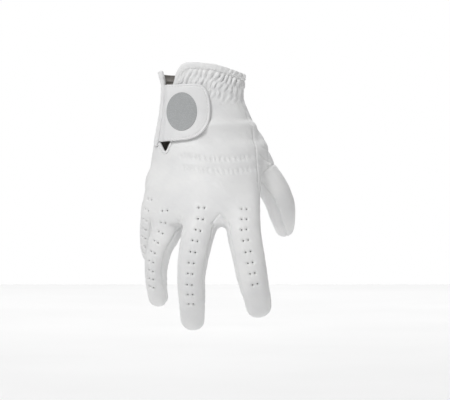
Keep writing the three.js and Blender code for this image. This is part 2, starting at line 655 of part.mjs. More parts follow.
function rollSolid(grow) {
  const sides = 8;
  const path = rollSections.map((row) => handBack(row.across * breadth, -row.down * palmLength, 0.9));
  const rings = path.map(({ at, out }, k) => {
    const [before, after] = [path[Math.max(k - 1, 0)].at, path[Math.min(k + 1, path.length - 1)].at];
    const along = after.clone().sub(before).normalize();
    const cross = new THREE.Vector3().crossVectors(along, out).normalize();
    const half = rollSections[k].wide * rollWidth / 2 + grow;
    const end = k === 0 ? -grow : k === path.length - 1 ? grow : 0;
    return Array.from({ length: sides }, (_, i) => {
      const angle = 2 * Math.PI * (i + 0.5) / sides;
      return at.clone().addScaledVector(cross, half * Math.cos(angle))
        .addScaledVector(out, (rollDepth / 2 + grow) * Math.sin(angle))
        .addScaledVector(along, end);
    });
  });
  return solid(loft(rings));
}

// Layers that lie on the back of the hand: tab, its patch and the pad under it
function layer(shape, low, high) {
  return handSolid({ offset: high, levels: plainLevels }).subtract(handSolid({ offset: low, levels: plainLevels }))
    .intersect(pushedThrough(shape, -reach, midPlane - 6));
}

const tabLeft = -0.312 * breadth;
const tabTop = -0.098 * palmLength;
const tabShape = new THREE.Shape();
tabShape.moveTo(tabLeft, tabTop);
tabShape.lineTo(tabLeft + 0.70 * tabWidth, tabTop + 0.035 * tabHeight);
tabShape.bezierCurveTo(tabLeft + 0.88 * tabWidth, tabTop + 0.04 * tabHeight, tabLeft + 0.99 * tabWidth,
  tabTop - 0.18 * tabHeight, tabLeft + 0.99 * tabWidth, tabTop - 0.46 * tabHeight);
tabShape.bezierCurveTo(tabLeft + 0.99 * tabWidth, tabTop - 0.86 * tabHeight, tabLeft + 0.74 * tabWidth,
  tabTop - 0.99 * tabHeight, tabLeft + 0.42 * tabWidth, tabTop - 0.99 * tabHeight);
tabShape.lineTo(tabLeft - 0.085 * tabWidth, tabTop - tabHeight);

const patchCentre = [tabLeft + 0.35 * tabWidth, tabTop - 0.485 * tabHeight];
const patchShape = new THREE.Shape();
patchShape.absellipse(...patchCentre, patchWidth / 2, patchHeight / 2, 0, 2 * Math.PI, false, 0);
const padShape = new THREE.Shape();
const padInset = 5;
padShape.moveTo(slit.lowRight * breadth + padInset + 4, tabTop - padInset);
padShape.lineTo(tabLeft + tabWidth - padInset, tabTop - padInset - 4);
padShape.lineTo(tabLeft + tabWidth - padInset, tabTop - 0.70 * tabHeight);
padShape.lineTo(slit.lowRight * breadth + padInset + 4, tabTop - 0.80 * tabHeight);

const clear = 0.3;
const padLow = hemSwell + clear;
const tabLow = padLow + padThickness + clear;
const patchLow = tabLow + tabThickness + clear;

// Air holes: pairs of small holes along the back of each finger, cut right through
const holes = [];
for (const finger of fingerList) {
  for (let row = 0; row < finger.spec.holeRows; row++) {
    const distance = finger.spec.holeStart + row * holePitch;
    for (const way of [1, -1]) {
      const half = finger.frame(distance).a;
      const angle = Math.PI / 2 + way * Math.asin(holePairSpan / 2 / half);
      const prism = new THREE.CylinderGeometry(holeRadius, holeRadius, 9, holeSides);
      prism.deleteAttribute('normal');
      prism.deleteAttribute('uv');
      const out = finger.out(distance, angle);
      prism.applyQuaternion(new THREE.Quaternion().setFromUnitVectors(new THREE.Vector3(0, 1, 0), out));
      prism.translate(...finger.point(distance, angle));
      holes.push(solid(prism));
    }
  }
}

// The loose pieces that the knives leave, picked by a point on each
function pieces(body, cutters) {
  return body.subtract(sum(cutters)).decompose().map((part) => {
    const { vertProperties, numProp } = part.getMesh();
    return { part, vertProperties, numProp, volume: part.volume() };
  }).filter((one) => one.volume > 1);
}

function pick(list, point) {
  let best = null;
  let nearest = Infinity;
  for (const one of list) {
    for (let i = 0; i < one.vertProperties.length; i += one.numProp) {
      const d = Math.hypot(one.vertProperties[i] - point.x, one.vertProperties[i + 1] - point.y,
        one.vertProperties[i + 2] - point.z);
      if (d < nearest) [nearest, best] = [d, one];
    }
  }
  return best.part;
}

// Cut the shell up: each region, grown and shrunk by half the seam gap, takes its piece out of the rest
const half = seamGap / 2;
const handOnly = handShell.subtract(rollSolid(clear));
const largest = (body) => body.decompose().sort((p, q) => q.volume() - p.volume())[0];
const fourchetteRegions = Object.values(fourchettes).map((spec) => (gap) => fourchetteRegion(spec, gap));
const letIn = [stripRegion, ...fourchetteRegions];
const letInPieces = letIn.map((region) => handOnly.intersect(region(-half)).intersect(region(half)));
const without = (body, region) => body.subtract(region(half)).subtract(region(-half));
const rest = letIn.reduce(without, handOnly);
const back = rest.intersect(backRegion(-half));
const palm = rest.subtract(backRegion(half));
const thumbPieces = pieces(thumbShell, [ribbon(thumbSeam)]);
const bindingPieces = pieces(binding, [rollSolid(clear)]);

const leather = { color: 0xe6e6e4, roughness: 0.55, metalness: 0 };
const group = new THREE.Group();
function addPiece(name, body, finish = leather) {
  const result = body.getMesh();
  const geometry = new THREE.BufferGeometry();
  geometry.setAttribute('position', new THREE.Float32BufferAttribute(result.vertProperties, 3));
  geometry.setIndex(Array.from(result.triVerts));
  const mesh = new THREE.Mesh(geometry, new THREE.MeshStandardMaterial(finish));
  mesh.name = name;
  group.add(mesh);
}

addPiece('back_panel', largest(back).subtract(sum(holes)));
addPiece('palm_panel', largest(palm));
addPiece('side_strip', largest(letInPieces[0]));
Object.keys(fourchettes).forEach((name, k) => addPiece(`fourchette_${name}`, largest(letInPieces[k + 1])));
addPiece('thumb_outer', pick(thumbPieces, onFinger(thumbDigit, 0.75, 0).at));
addPiece('thumb_inner', pick(thumbPieces, onFinger(thumbDigit, 0.75, 180).at));
addPiece('cuff_binding', pick(bindingPieces, onHand(0.03, 60).at));
addPiece('slit_roll', rollSolid(0));
addPiece('closure_pad', layer(padShape, padLow, padLow + padThickness),
  { color: 0xd8d8d6, roughness: 0.95, metalness: 0 });
addPiece('closure_tab', layer(tabShape, tabLow, tabLow + tabThickness));
addPiece('tab_patch', layer(patchShape, patchLow, patchLow + patchThickness),
  { color: 0xa3a5a8, roughness: 0.7, metalness: 0 });

export default group;
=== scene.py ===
import math

import bmesh
import bpy
import numpy as np
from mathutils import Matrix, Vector
from mathutils.kdtree import KDTree


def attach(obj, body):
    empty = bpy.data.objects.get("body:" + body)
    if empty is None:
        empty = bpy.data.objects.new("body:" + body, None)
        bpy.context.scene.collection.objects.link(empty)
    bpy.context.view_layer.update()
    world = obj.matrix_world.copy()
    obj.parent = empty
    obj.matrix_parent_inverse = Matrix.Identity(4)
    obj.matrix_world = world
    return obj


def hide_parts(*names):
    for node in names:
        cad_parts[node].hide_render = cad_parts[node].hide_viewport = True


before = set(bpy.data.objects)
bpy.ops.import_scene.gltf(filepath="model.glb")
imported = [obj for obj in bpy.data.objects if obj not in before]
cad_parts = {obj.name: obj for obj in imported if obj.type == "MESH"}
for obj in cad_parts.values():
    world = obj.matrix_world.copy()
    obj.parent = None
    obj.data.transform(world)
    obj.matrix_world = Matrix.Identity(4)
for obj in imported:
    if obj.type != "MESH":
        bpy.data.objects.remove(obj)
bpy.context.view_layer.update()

# The form of the glove. Soft leather is cut flat, sewn inside out and keeps the shape that it is worn into,
# so one smooth form is made first: a stack of rounded sections for the hand, bent tubes for the fingers
# and the thumb, and rounded webs where they meet. Everything is in metres.
mm = 0.001
breadth = 90 * mm              # across the knuckles
palm_length = 112 * mm         # wrist opening to the webs between the fingers
hand_depth = 36 * mm

# down and forward are shares of palm_length, across, wide and arch of breadth, deep of hand_depth.
# square is the exponent of the section: 2 is an ellipse, more is squarer.
hand_columns = ("down", "across", "wide", "forward", "deep", "arch", "square")
hand_rows = np.array([
    (-0.12, 0.000, 0.765, 0.000, 1.17, 0.03, 2.30),
    (0.000, 0.004, 0.755, 0.004, 1.16, 0.03, 2.30),
    (0.105, 0.013, 0.722, 0.009, 1.14, 0.03, 2.30),
    (0.180, 0.008, 0.716, 0.018, 1.11, 0.04, 2.30),
    (0.300, 0.028, 0.784, 0.027, 1.08, 0.05, 2.30),
    (0.384, 0.034, 0.846, 0.040, 1.06, 0.07, 2.30),
    (0.477, 0.040, 0.905, 0.071, 1.03, 0.10, 2.35),
    (0.592, 0.037, 0.949, 0.125, 0.97, 0.15, 2.45),
    (0.661, 0.034, 0.966, 0.156, 0.94, 0.19, 2.50),
    (0.766, 0.013, 1.005, 0.214, 0.89, 0.24, 2.65),
    (0.871, 0.001, 1.005, 0.280, 0.83, 0.28, 2.80),
    (0.973, -0.007, 1.000, 0.345, 0.74, 0.32, 2.90),
    (1.120, -0.007, 0.985, 0.410, 0.72, 0.33, 2.90),
])
hand_end = 1.062               # lowest point of the webs, share of palm_length
web_round = 17 * mm            # how softly the hand rounds off into the webs
arch_peak = 0.20               # where the back stands highest, share of breadth towards the index finger
arch_index_share = 0.20        # how much of the arch is left on the index side
digit_square = 2.2             # exponent of a finger's section

# Each finger: length, width, depth in mm, root in mm, air-hole rows and the first row's place in mm, then
# rows of side, lift, drop (shares of length), wide, deep (shares of width and depth) and turn in degrees.
digits = {
    "index": dict(
        length=96, width=24.2, depth=21.5, root=(32.2, -28.0, -96.0), holes=(8, 22.3),
        rows=[(0.000, 0.000, 0.000, 0.80, 0.66, 0), (0.008, 0.129, 0.161, 1.00, 1.00, 0),
              (0.008, 0.203, 0.308, 1.07, 1.00, 0), (0.034, 0.240, 0.462, 1.05, 0.98, -2),
              (0.065, 0.234, 0.633, 0.99, 0.93, -4), (0.092, 0.200, 0.755, 0.92, 0.88, -6),
              (0.119, 0.141, 0.868, 0.85, 0.82, -8), (0.127, 0.070, 0.985, 0.78, 0.74, -8)]),
    "middle": dict(
        length=104, width=24.6, depth=21.5, root=(1.6, -26.0, -96.0), holes=(10, 22.5),
        rows=[(0.000, 0.000, 0.000, 0.80, 0.66, 2), (-0.010, 0.115, 0.149, 1.02, 1.00, 3),
              (-0.022, 0.172, 0.247, 1.03, 1.00, 4), (-0.046, 0.200, 0.335, 1.01, 1.00, 5),
              (-0.066, 0.214, 0.443, 0.96, 0.98, 6), (-0.083, 0.206, 0.571, 0.90, 0.93, 6),
              (-0.090, 0.183, 0.668, 0.87, 0.88, 6), (-0.085, 0.131, 0.793, 0.83, 0.82, 5),
              (-0.082, 0.069, 0.886, 0.79, 0.77, 4), (-0.077, -0.030, 1.005, 0.72, 0.72, 4)]),
    "ring": dict(
        length=90, width=22.4, depth=20, root=(-23.6, -17.0, -96.0), holes=(9, 18.2),
        rows=[(0.000, 0.000, 0.000, 0.80, 0.66, 14), (-0.010, 0.078, 0.170, 1.06, 1.00, 20),
              (-0.034, 0.088, 0.320, 1.06, 1.00, 25), (-0.092, 0.060, 0.450, 0.93, 0.95, 27),
              (-0.122, 0.010, 0.560, 0.86, 0.88, 29), (-0.134, -0.055, 0.672, 0.80, 0.82, 30),
              (-0.134, -0.125, 0.785, 0.75, 0.78, 31), (-0.126, -0.200, 0.885, 0.70, 0.74, 32),
              (-0.112, -0.285, 0.972, 0.66, 0.70, 32)]),
    "little": dict(
        length=72, width=19.5, depth=18, root=(-35.3, -14.6, -95.0), holes=(7, 6),
        rows=[(0.000, 0.000, 0.000, 0.76, 0.66, 30), (-0.030, -0.030, 0.220, 1.00, 1.00, 40),
              (-0.058, -0.150, 0.455, 0.98, 0.98, 46), (-0.060, -0.310, 0.630, 0.92, 0.93, 48),
              (-0.022, -0.470, 0.720, 0.87, 0.88, 48), (0.035, -0.680, 0.745, 0.80, 0.82, 48)]),
    "thumb": dict(
        length=84, width=24.5, depth=25, root=(38.0, 2.2, -54.5), holes=(0, 0),
        rows=[(-0.200, 0.060, -0.200, 0.40, 0.40, 0), (-0.105, 0.030, -0.060, 0.86, 0.86, 0),
              (0.000, 0.010, 0.085, 1.05, 1.08, 0), (0.085, 0.000, 0.262, 1.04, 1.08, 0),
              (0.212, -0.012, 0.437, 0.98, 1.00, 0), (0.286, -0.070, 0.586, 0.95, 0.94, 0),
              (0.312, -0.165, 0.700, 0.84, 0.88, 0), (0.330, -0.290, 0.800, 0.66, 0.80, 0),
              (0.340, -0.360, 0.868, 0.52, 0.70, 0)]),
}


def smooth_curve(x, y, at):
    """Value at each place of a smooth line through the points, with no overshoot."""
    x, y = np.asarray(x, float), np.asarray(y, float)
    step = np.diff(x)
    rise = np.diff(y) / step
    slope = np.zeros(len(x))
    same_way = rise[:-1] * rise[1:] > 0
    w1, w2 = 2 * step[1:] + step[:-1], step[1:] + 2 * step[:-1]
    with np.errstate(divide="ignore", invalid="ignore"):
        mean = (w1 + w2) / (w1 / rise[:-1] + w2 / rise[1:])
    slope[1:-1] = np.where(same_way, mean, 0)
    slope[0], slope[-1] = rise[0], rise[-1]
    at = np.clip(at, x[0], x[-1])
    k = np.clip(np.searchsorted(x, at) - 1, 0, len(x) - 2)
    t = (at - x[k]) / step[k]
    return ((2 * t ** 3 - 3 * t ** 2 + 1) * y[k] + (t ** 3 - 2 * t ** 2 + t) * step[k] * slope[k]
            + (3 * t ** 2 - 2 * t ** 3) * y[k + 1] + (t ** 3 - t ** 2) * step[k] * slope[k + 1])


def smooth_between(p0, p1, p2, p3, t):
    """Point at share t of the way from p1 to p2, on a smooth curve through all four."""
    return 0.5 * (2 * p1 + (p2 - p0) * t + (2 * p0 - 5 * p1 + 4 * p2 - p3) * t ** 2
                  + (3 * p1 - p0 - 3 * p2 + p3) * t ** 3)


def length_along(line):
    return np.concatenate([[0], np.cumsum(np.linalg.norm(np.diff(line, axis=0), axis=1))])


def look_up(at, places, table):
    """Rows between the rows of a table, which stand at these places."""
    return np.stack([np.interp(at, places, column) for column in table.T], -1)


def unit(vectors):
    return vectors / np.maximum(np.linalg.norm(vectors, axis=-1, keepdims=True), 1e-12)


def smooth_step(value, low, high):
    t = np.clip((value - low) / (high - low), 0, 1)
    return t * t * (3 - 2 * t)


def bump_between(value, low, high):
    t = np.clip((value - low) / (high - low), 0, 1)
    return np.sin(np.pi * t) ** 2


def hand_section(z):
    down = -z / palm_length
    s = {name: smooth_curve(hand_rows[:, 0], hand_rows[:, k], down) for k, name in enumerate(hand_columns)}
    return dict(x=s["across"] * breadth, y=-s["forward"] * palm_length, a=s["wide"] * breadth / 2,
                b=s["deep"] * hand_depth / 2, arch=s["arch"] * breadth, square=s["square"])


def mid_depth(s, x):
    """The sheet half way between back and palm: it falls back to both sides."""
    peak = arch_peak * breadth
    little_side = s["arch"] * ((peak - x) / (peak - s["x"] + s["a"])) ** 2
    index_side = s["arch"] * arch_index_share * ((x - peak) / (s["x"] + s["a"] - peak)) ** 2
    return s["y"] + np.where(x < peak, little_side, index_side)


def radial(value, reach):
    """Rough distance to a section, from its value, 1 on the section, and the distance to its centre."""
    return reach * (1 - 1 / np.maximum(value, 0.05))


def smooth_min(a, b, soft):
    h = np.clip(0.5 + 0.5 * (b - a) / soft, 0, 1)
    return b + (a - b) * h - soft * h * (1 - h)


def hand_field(x, y, z):
    s = hand_section(z)
    u, v = np.abs(x - s["x"]), np.abs(y - mid_depth(s, x))
    value = ((u / s["a"]) ** s["square"] + (v / s["b"]) ** s["square"]) ** (1 / s["square"])
    tube = radial(value, np.sqrt(u * u + v * v) + 1e-9)
    tube = tube * np.clip(1 / (0.35 + 0.65 * u / s["a"] + 0.2 * v / s["b"]), 0.55, 1.0) \
        * np.where(v > 0.7 * s["b"], 0.75, 1)
    below = -hand_end * palm_length - z
    return -smooth_min(-tube, -below, web_round)


class Digit:
    """A finger or thumb: stations along its bent centre line, with the frame and half sizes of each."""

    def __init__(self, length, width, depth, root, holes, rows):
        self.holes = holes
        rows = np.array(rows, float)
        nodes = np.stack([rows[:, 0], -rows[:, 1], -rows[:, 2]], 1) * length * mm + np.array(root) * mm
        ends = np.vstack([2 * nodes[0] - nodes[1], nodes, 2 * nodes[-1] - nodes[-2]])
        steps = 24
        share = np.arange(steps)[:, None] / steps
        spans = [smooth_between(*ends[k:k + 4], share) for k in range(len(nodes) - 1)]
        line = np.vstack(spans + [nodes[-1:]])
        travelled = length_along(line)
        self.total = travelled[-1]
        self.at = np.linspace(0, self.total, 90)
        self.centre = look_up(self.at, travelled, line)
        place = np.interp(self.at, travelled, np.arange(len(line)) / steps)
        self.tangent = unit(np.gradient(self.centre, axis=0))
        index = np.arange(len(rows))
        self.a = smooth_curve(index, rows[:, 3], place) * width * mm / 2
        self.b = smooth_curve(index, rows[:, 4], place) * depth * mm / 2
        turn = np.radians(smooth_curve(index, rows[:, 5], place))[:, None]
        back = unit(np.array([0, -1.0, 0]) - self.tangent * (-self.tangent[:, 1])[:, None])
        side = np.cross(back, self.tangent)
        self.back = back * np.cos(turn) - side * np.sin(turn)
        self.side = side * np.cos(turn) + back * np.sin(turn)
        self.cap = self.a[-1]

    def local(self, points):
        """Distance along the digit, to the side and to the back, and the half width and half depth there."""
        best = np.full(len(points), np.inf)
        nearest = np.zeros(len(points), int)
        for k, centre in enumerate(self.centre):
            d = ((points - centre) ** 2).sum(1)
            closer = d < best
            best[closer], nearest[closer] = d[closer], k
        along = self.at[nearest] + ((points - self.centre[nearest]) * self.tangent[nearest]).sum(1)
        inside = np.clip(along, 0, self.total)
        take = lambda table: look_up(inside, self.at, table)
        away = points - take(self.centre)
        side, back = take(self.side), take(self.back)
        return dict(along=along, side=(away * side).sum(1), back=(away * back).sum(1),
                    a=np.interp(inside, self.at, self.a), b=np.interp(inside, self.at, self.b))

    def field(self, points):
        q = self.local(points)
        n = digit_square
        past = np.maximum(q["along"] - (self.total - self.cap), 0) + np.maximum(-q["along"], 0)
        value = ((np.abs(q["side"]) / q["a"]) ** n + (np.abs(q["back"]) / q["b"]) ** n
                 + (past / self.cap) ** n) ** (1 / n)
        return radial(value, np.sqrt(q["side"] ** 2 + q["back"] ** 2 + past ** 2) + 1e-9)

    def point(self, along, angle):
        """Point and outward direction on the skin; angle 0 is the side towards +X, 90 the back."""
        take = lambda table: look_up(along, self.at, table)
        a, b = np.interp(along, self.at, self.a), np.interp(along, self.at, self.b)
        c, s = math.cos(angle), math.sin(angle)
        out = take(self.side) * c + take(self.back) * s
        rounded = lambda v: math.copysign(abs(v) ** (2 / digit_square), v)
        return take(self.centre) + take(self.side) * a * rounded(c) + take(self.back) * b * rounded(s), out


digits = {name: Digit(**spec) for name, spec in digits.items()}
fingers = [digits[name] for name in ("index", "middle", "ring", "little")]

# The form is sampled on a grid, and its skin is one point in each cell that the surface crosses
grid_step = 1.14 * mm
far_off = 50 * mm              # the value that stands for anywhere well outside
low_corner = np.array([-0.062, -0.070, -0.217])
high_corner = np.array([0.086, 0.048, 0.018])
counts = np.ceil((high_corner - low_corner) / grid_step).astype(int) + 1
gx, gy, gz = [low_corner[k] + grid_step * np.arange(counts[k]) for k in range(3)]
hand_grid = hand_field(gx[:, None, None], gy[None, :, None], gz[None, None, :])


def digit_grid(digit, margin=16 * mm):
    """The digit's field where it matters, and a large value elsewhere."""
    values = np.full(tuple(counts), far_off)
    window = []
    for k, axis in enumerate((gx, gy, gz)):
        keep = np.nonzero((axis > digit.centre[:, k].min() - margin - digit.a.max())
                          & (axis < digit.centre[:, k].max() + margin + digit.a.max()))[0]
        window.append(slice(keep[0], keep[-1] + 1))
    sx, sy, sz = np.meshgrid(gx[window[0]], gy[window[1]], gz[window[2]], indexing="ij")
    part = digit.field(np.stack([sx.ravel(), sy.ravel(), sz.ravel()], 1)).reshape(sx.shape)
    values[tuple(window)] = np.minimum(part, far_off)
    return values


thumb_soft = 9 * mm
finger_soft = 6 * mm
finger_grid = digit_grid(fingers[0])
for finger, crotch in zip(fingers[1:], (15, 7, 5)):      # how far each crotch is filled, in mm
    soft = (1.5 + crotch * smooth_step(gz, -137 * mm, -117 * mm)) * mm
    finger_grid = smooth_min(finger_grid, digit_grid(finger), soft)
form = smooth_min(hand_grid, digit_grid(digits["thumb"]), thumb_soft)
form = smooth_min(form, finger_grid, finger_soft)


def grid_value(values, points):
    """Value of a grid at points between its corners."""
    p = (points - low_corner) / grid_step
    i = np.clip(np.floor(p).astype(int), 0, counts - 2)
    f = p - i
    corner = lambda dx, dy, dz: values[i[:, 0] + dx, i[:, 1] + dy, i[:, 2] + dz]
    c = {(dx, dy, dz): corner(dx, dy, dz) for dx in (0, 1) for dy in (0, 1) for dz in (0, 1)}
    fx, fy, fz = f[:, 0], f[:, 1], f[:, 2]
    mix = lambda p, q, t: p + (q - p) * t
    x00, x10 = mix(c[0, 0, 0], c[1, 0, 0], fx), mix(c[0, 1, 0], c[1, 1, 0], fx)
    x01, x11 = mix(c[0, 0, 1], c[1, 0, 1], fx), mix(c[0, 1, 1], c[1, 1, 1], fx)
    return mix(mix(x00, x10, fy), mix(x01, x11, fy), fz)


def outward(points, reach=1.2 * mm):
    slope = np.stack([grid_value(form, points + reach * e) - grid_value(form, points - reach * e)
                      for e in np.eye(3)], 1) / (2 * reach)
    return slope, unit(slope)


def skin_of(values):
    """Quads on the zero level of the grid: one point in each cell that the level crosses."""
    inside = values < 0
    cell = inside[:-1, :-1, :-1]
    mixed = np.zeros(cell.shape, bool)
    for dx in (0, 1):
        for dy in (0, 1):
            for dz in (0, 1):
                mixed |= inside[dx:dx + cell.shape[0], dy:dy + cell.shape[1], dz:dz + cell.shape[2]] != cell
    at = np.argwhere(mixed)
    number = np.full(cell.shape, -1)
    number[mixed] = np.arange(len(at))
    total, hits = np.zeros((len(at), 3)), np.zeros(len(at))
    for axis in range(3):
        others = [k for k in range(3) if k != axis]
        for p in (0, 1):
            for q in (0, 1):
                start = at.copy()
                start[:, others[0]] += p
                start[:, others[1]] += q
                stop = start.copy()
                stop[:, axis] += 1
                v0, v1 = values[tuple(start.T)], values[tuple(stop.T)]
                cross = (v0 < 0) != (v1 < 0)
                t = v0[cross] / (v0[cross] - v1[cross])
                where = start[cross].astype(float)
                where[:, axis] += t
                total[cross] += where
                hits[cross] += 1
    points = low_corner + grid_step * total / hits[:, None]
    quads = []
    for axis in range(3):
        size = list(values.shape)
        lower = [slice(0, size[k] - 1) if k == axis else slice(1, size[k] - 1) for k in range(3)]
        upper = [slice(1, size[k]) if k == axis else slice(1, size[k] - 1) for k in range(3)]
        change = inside[tuple(lower)] != inside[tuple(upper)]
        e = np.argwhere(change) + [0 if k == axis else 1 for k in range(3)]
        u, v = (axis + 1) % 3, (axis + 2) % 3
        ring = []
        for du, dv in ((0, 0), (-1, 0), (-1, -1), (0, -1)):
            c = e.copy()
            c[:, u] += du
            c[:, v] += dv
            ring.append(number[tuple(c.T)])
        ring = np.stack(ring, 1)
        flip = ~inside[tuple(e.T)]
        ring[flip] = ring[flip][:, ::-1]
        quads.append(ring)
    return points, np.vstack(quads)


skin_points, skin_quads = skin_of(form)


def neighbours_of(quads, count):
    edges = np.vstack([quads[:, [k, (k + 1) % quads.shape[1]]] for k in range(quads.shape[1])])
    edges = np.vstack([edges, edges[:, ::-1]])
    degree = np.bincount(edges[:, 0], minlength=count)
    return edges, np.maximum(degree, 1)


def settle(points, edges, degree, share):
    mean = np.stack([np.bincount(edges[:, 0], points[edges[:, 1], k], minlength=len(points)) / degree
                     for k in range(3)], 1)
    return points + share * (mean - points)


edges, degree = neighbours_of(skin_quads, len(skin_points))
for turn in range(4):
    skin_points = settle(skin_points, edges, degree, 0.5)
    slope, normal = outward(skin_points)
    value = grid_value(form, skin_points)
    skin_points = skin_points - normal * (value / np.maximum(np.linalg.norm(slope, axis=1), 0.3))[:, None]
skin_triangles = np.vstack([skin_quads[:, [0, 1, 2]], skin_quads[:, [0, 2, 3]]])

# A sheet of leather while it is worked on has points, outward normals, triangles, and named marks, which
# are lengths to the lines that it is cut along, positive on one side
finger_local = {name: digit.local(skin_points) for name, digit in digits.items()}
x, y, z = skin_points.T
section = hand_section(z)
middle_sheet = mid_depth(section, x)
down = -z / palm_length
toward_back = smooth_step((middle_sheet - y) / section["b"], -0.3, 0.3)


def distance_to_outline(px, pz, outline):
    """Distance to a closed outline in X and Z, negative inside it."""
    outline = np.array(outline)
    best = np.full(len(px), np.inf)
    inside = np.zeros(len(px), bool)
    for (x0, z0), (x1, z1) in zip(outline, np.roll(outline, -1, axis=0)):
        square = (x1 - x0) ** 2 + (z1 - z0) ** 2
        t = np.clip(((px - x0) * (x1 - x0) + (pz - z0) * (z1 - z0)) / square, 0, 1)
        best = np.minimum(best, np.hypot(px - x0 - t * (x1 - x0), pz - z0 - t * (z1 - z0)))
        crosses = (z0 > pz) != (z1 > pz)
        with np.errstate(divide="ignore", invalid="ignore"):
            inside ^= crosses & (px < (x1 - x0) * (pz - z0) / (z1 - z0) + x0)
    return np.where(inside, -best, best)


# Wrist edge on the back with the slit, seen from the front, in mm
opening_outline = np.array([
    (60, -3.0), (33.9, -2.3), (27.5, -0.4), (21.5, 1.6), (15.5, 3.4), (9.75, 4.7), (0.1, 5.8), (-8.2, 6.2),
    (-12.4, 5.9), (-15.6, 4.7), (-18.2, 1.6), (-20.2, -2.8), (-21.6, -8.0), (-22.2, -13.0), (-22.5, -34.7),
    (-23.4, -53.0), (-27.6, -62.6), (-28.8, -63.4), (-30.0, -62.2), (-33.8, -54.9), (-31.1, -34.7),
    (-29.5, -11.8), (-30.4, -4.5), (-32.5, -1.6), (-60, -1.6), (-60, 90), (60, 90)]) * mm
palm_edge = -2.2 * mm
hem_width = 5.2 * mm
slit_binding_width = 2.0 * mm
slit_starts = (8 * mm, 15 * mm)      # down from the wrist, where the hem narrows to the slit's binding
on_slit = smooth_step(-z, *slit_starts) * toward_back
from_edge = distance_to_outline(x, z, opening_outline) * toward_back + (palm_edge - z) * (1 - toward_back)
hem_line = from_edge - (hem_width + (slit_binding_width - hem_width) * on_slit)

# Main seam between back and palm: degrees round the hand from the side, index side and little-finger side
seam_rows = np.array([(-0.12, 16, 192), (0.10, 17, 192), (0.26, 23, 192), (0.36, 26, 192), (0.477, 27, 192),
                      (0.64, 27, 193), (0.80, 21, 194), (0.90, 13, 190), (0.97, 8, 184), (1.02, 4, 181)])


def section_height(angle):
    sine = np.sin(np.radians(angle))
    return np.sign(sine) * np.abs(sine) ** (2 / section["square"])


seam_index = section_height(smooth_curve(seam_rows[:, 0], seam_rows[:, 1], down))
seam_little = section_height(smooth_curve(seam_rows[:, 0], seam_rows[:, 2], down))
across = np.clip((x - section["x"] + section["a"]) / (2 * section["a"]), 0, 1)
back_of_hand = middle_sheet - section["b"] * (seam_little + (seam_index - seam_little) * across) - y

finger_names = ("index", "middle", "ring", "little")
fields = np.stack([digits[name].field(skin_points) for name in finger_names])
nearest_finger = fields.argmin(0)
back_of_finger = np.choose(nearest_finger, [finger_local[name]["back"] for name in finger_names])
on_finger = smooth_step(-z, 98 * mm, 114 * mm)
back_line = back_of_hand * (1 - on_finger) + back_of_finger * on_finger

# Side walls of the fingers: how far round from the side each seam runs, less towards the tip
wall_angle = 34.0
wall_taper = ((0, 1.0), (0.55, 0.97), (0.75, 0.85), (0.92, 0.5), (1.0, 0.0))
wall_end = 0.84                # share of the finger's length
webs = {                       # two fingers, place of the web's point in mm, how steeply its seams fall
    "fourchette_index_middle": ("index", "middle", (14.6, -111.0), 1.35),
    "fourchette_middle_ring": ("middle", "ring", (-13.5, -115.5), 1.5),
    "fourchette_ring_little": ("ring", "little", (-38.0, -116.0), 1.6),
}


def wall_line(name, sign):
    """Length inside the seams of one side wall of a finger."""
    q = finger_local[name]
    round_side = np.degrees(np.arctan2(np.abs(q["back"]) / q["b"], sign * q["side"] / q["a"]))
    share = q["along"] / (digits[name].total * wall_end)
    taper = np.interp(share, *zip(*wall_taper), right=-1)
    length = np.radians(wall_angle * taper - round_side) * (q["a"] + q["b"]) / 2
    length = np.where(q["side"] * sign > 0, length, -8 * mm)
    other = np.delete(fields, finger_names.index(name), axis=0).min(0)
    own = fields[finger_names.index(name)]
    return np.where(own < other + 2 * mm, length, np.minimum(length, -2 * mm))


web_lines = {}
for node, (first, second, (web_x, web_z), steep) in webs.items():
    pa, pb = [centre[np.abs(centre[:, 2] - (web_z - 10) * mm).argmin()]
              for centre in (digits[first].centre, digits[second].centre)]
    direction = (pb - pa) * [1, 1, 0]
    gap_length = np.linalg.norm(direction)
    direction /= gap_length
    apex_row = hand_section(web_z * mm)
    apex = np.array([web_x * mm, mid_depth(apex_row, web_x * mm) - 0.9 * apex_row["b"], web_z * mm])
    apex_share = np.clip(((apex - pa) * direction).sum() / gap_length, 0.35, 0.65)
    place = ((skin_points - pa) * direction).sum(1) / gap_length
    between = np.abs(place - apex_share) * gap_length
    side_walls = np.maximum(wall_line(first, -1), wall_line(second, 1))
    roof = (web_z * mm - z) / steep - between
    roof = np.minimum(roof, gap_length * 0.45 - between)
    roof = np.minimum(roof, side_walls + 7 * mm * smooth_step(z, (web_z - 12) * mm, (web_z - 3) * mm))
    roof = np.minimum(roof, (z - (web_z - 14) * mm) / steep + 5 * mm - between)
    narrowed = side_walls - 0.9 * np.maximum(z - (web_z - 12) * mm, 0)
    web_lines[node] = -smooth_min(-narrowed, -roof, 5 * mm)

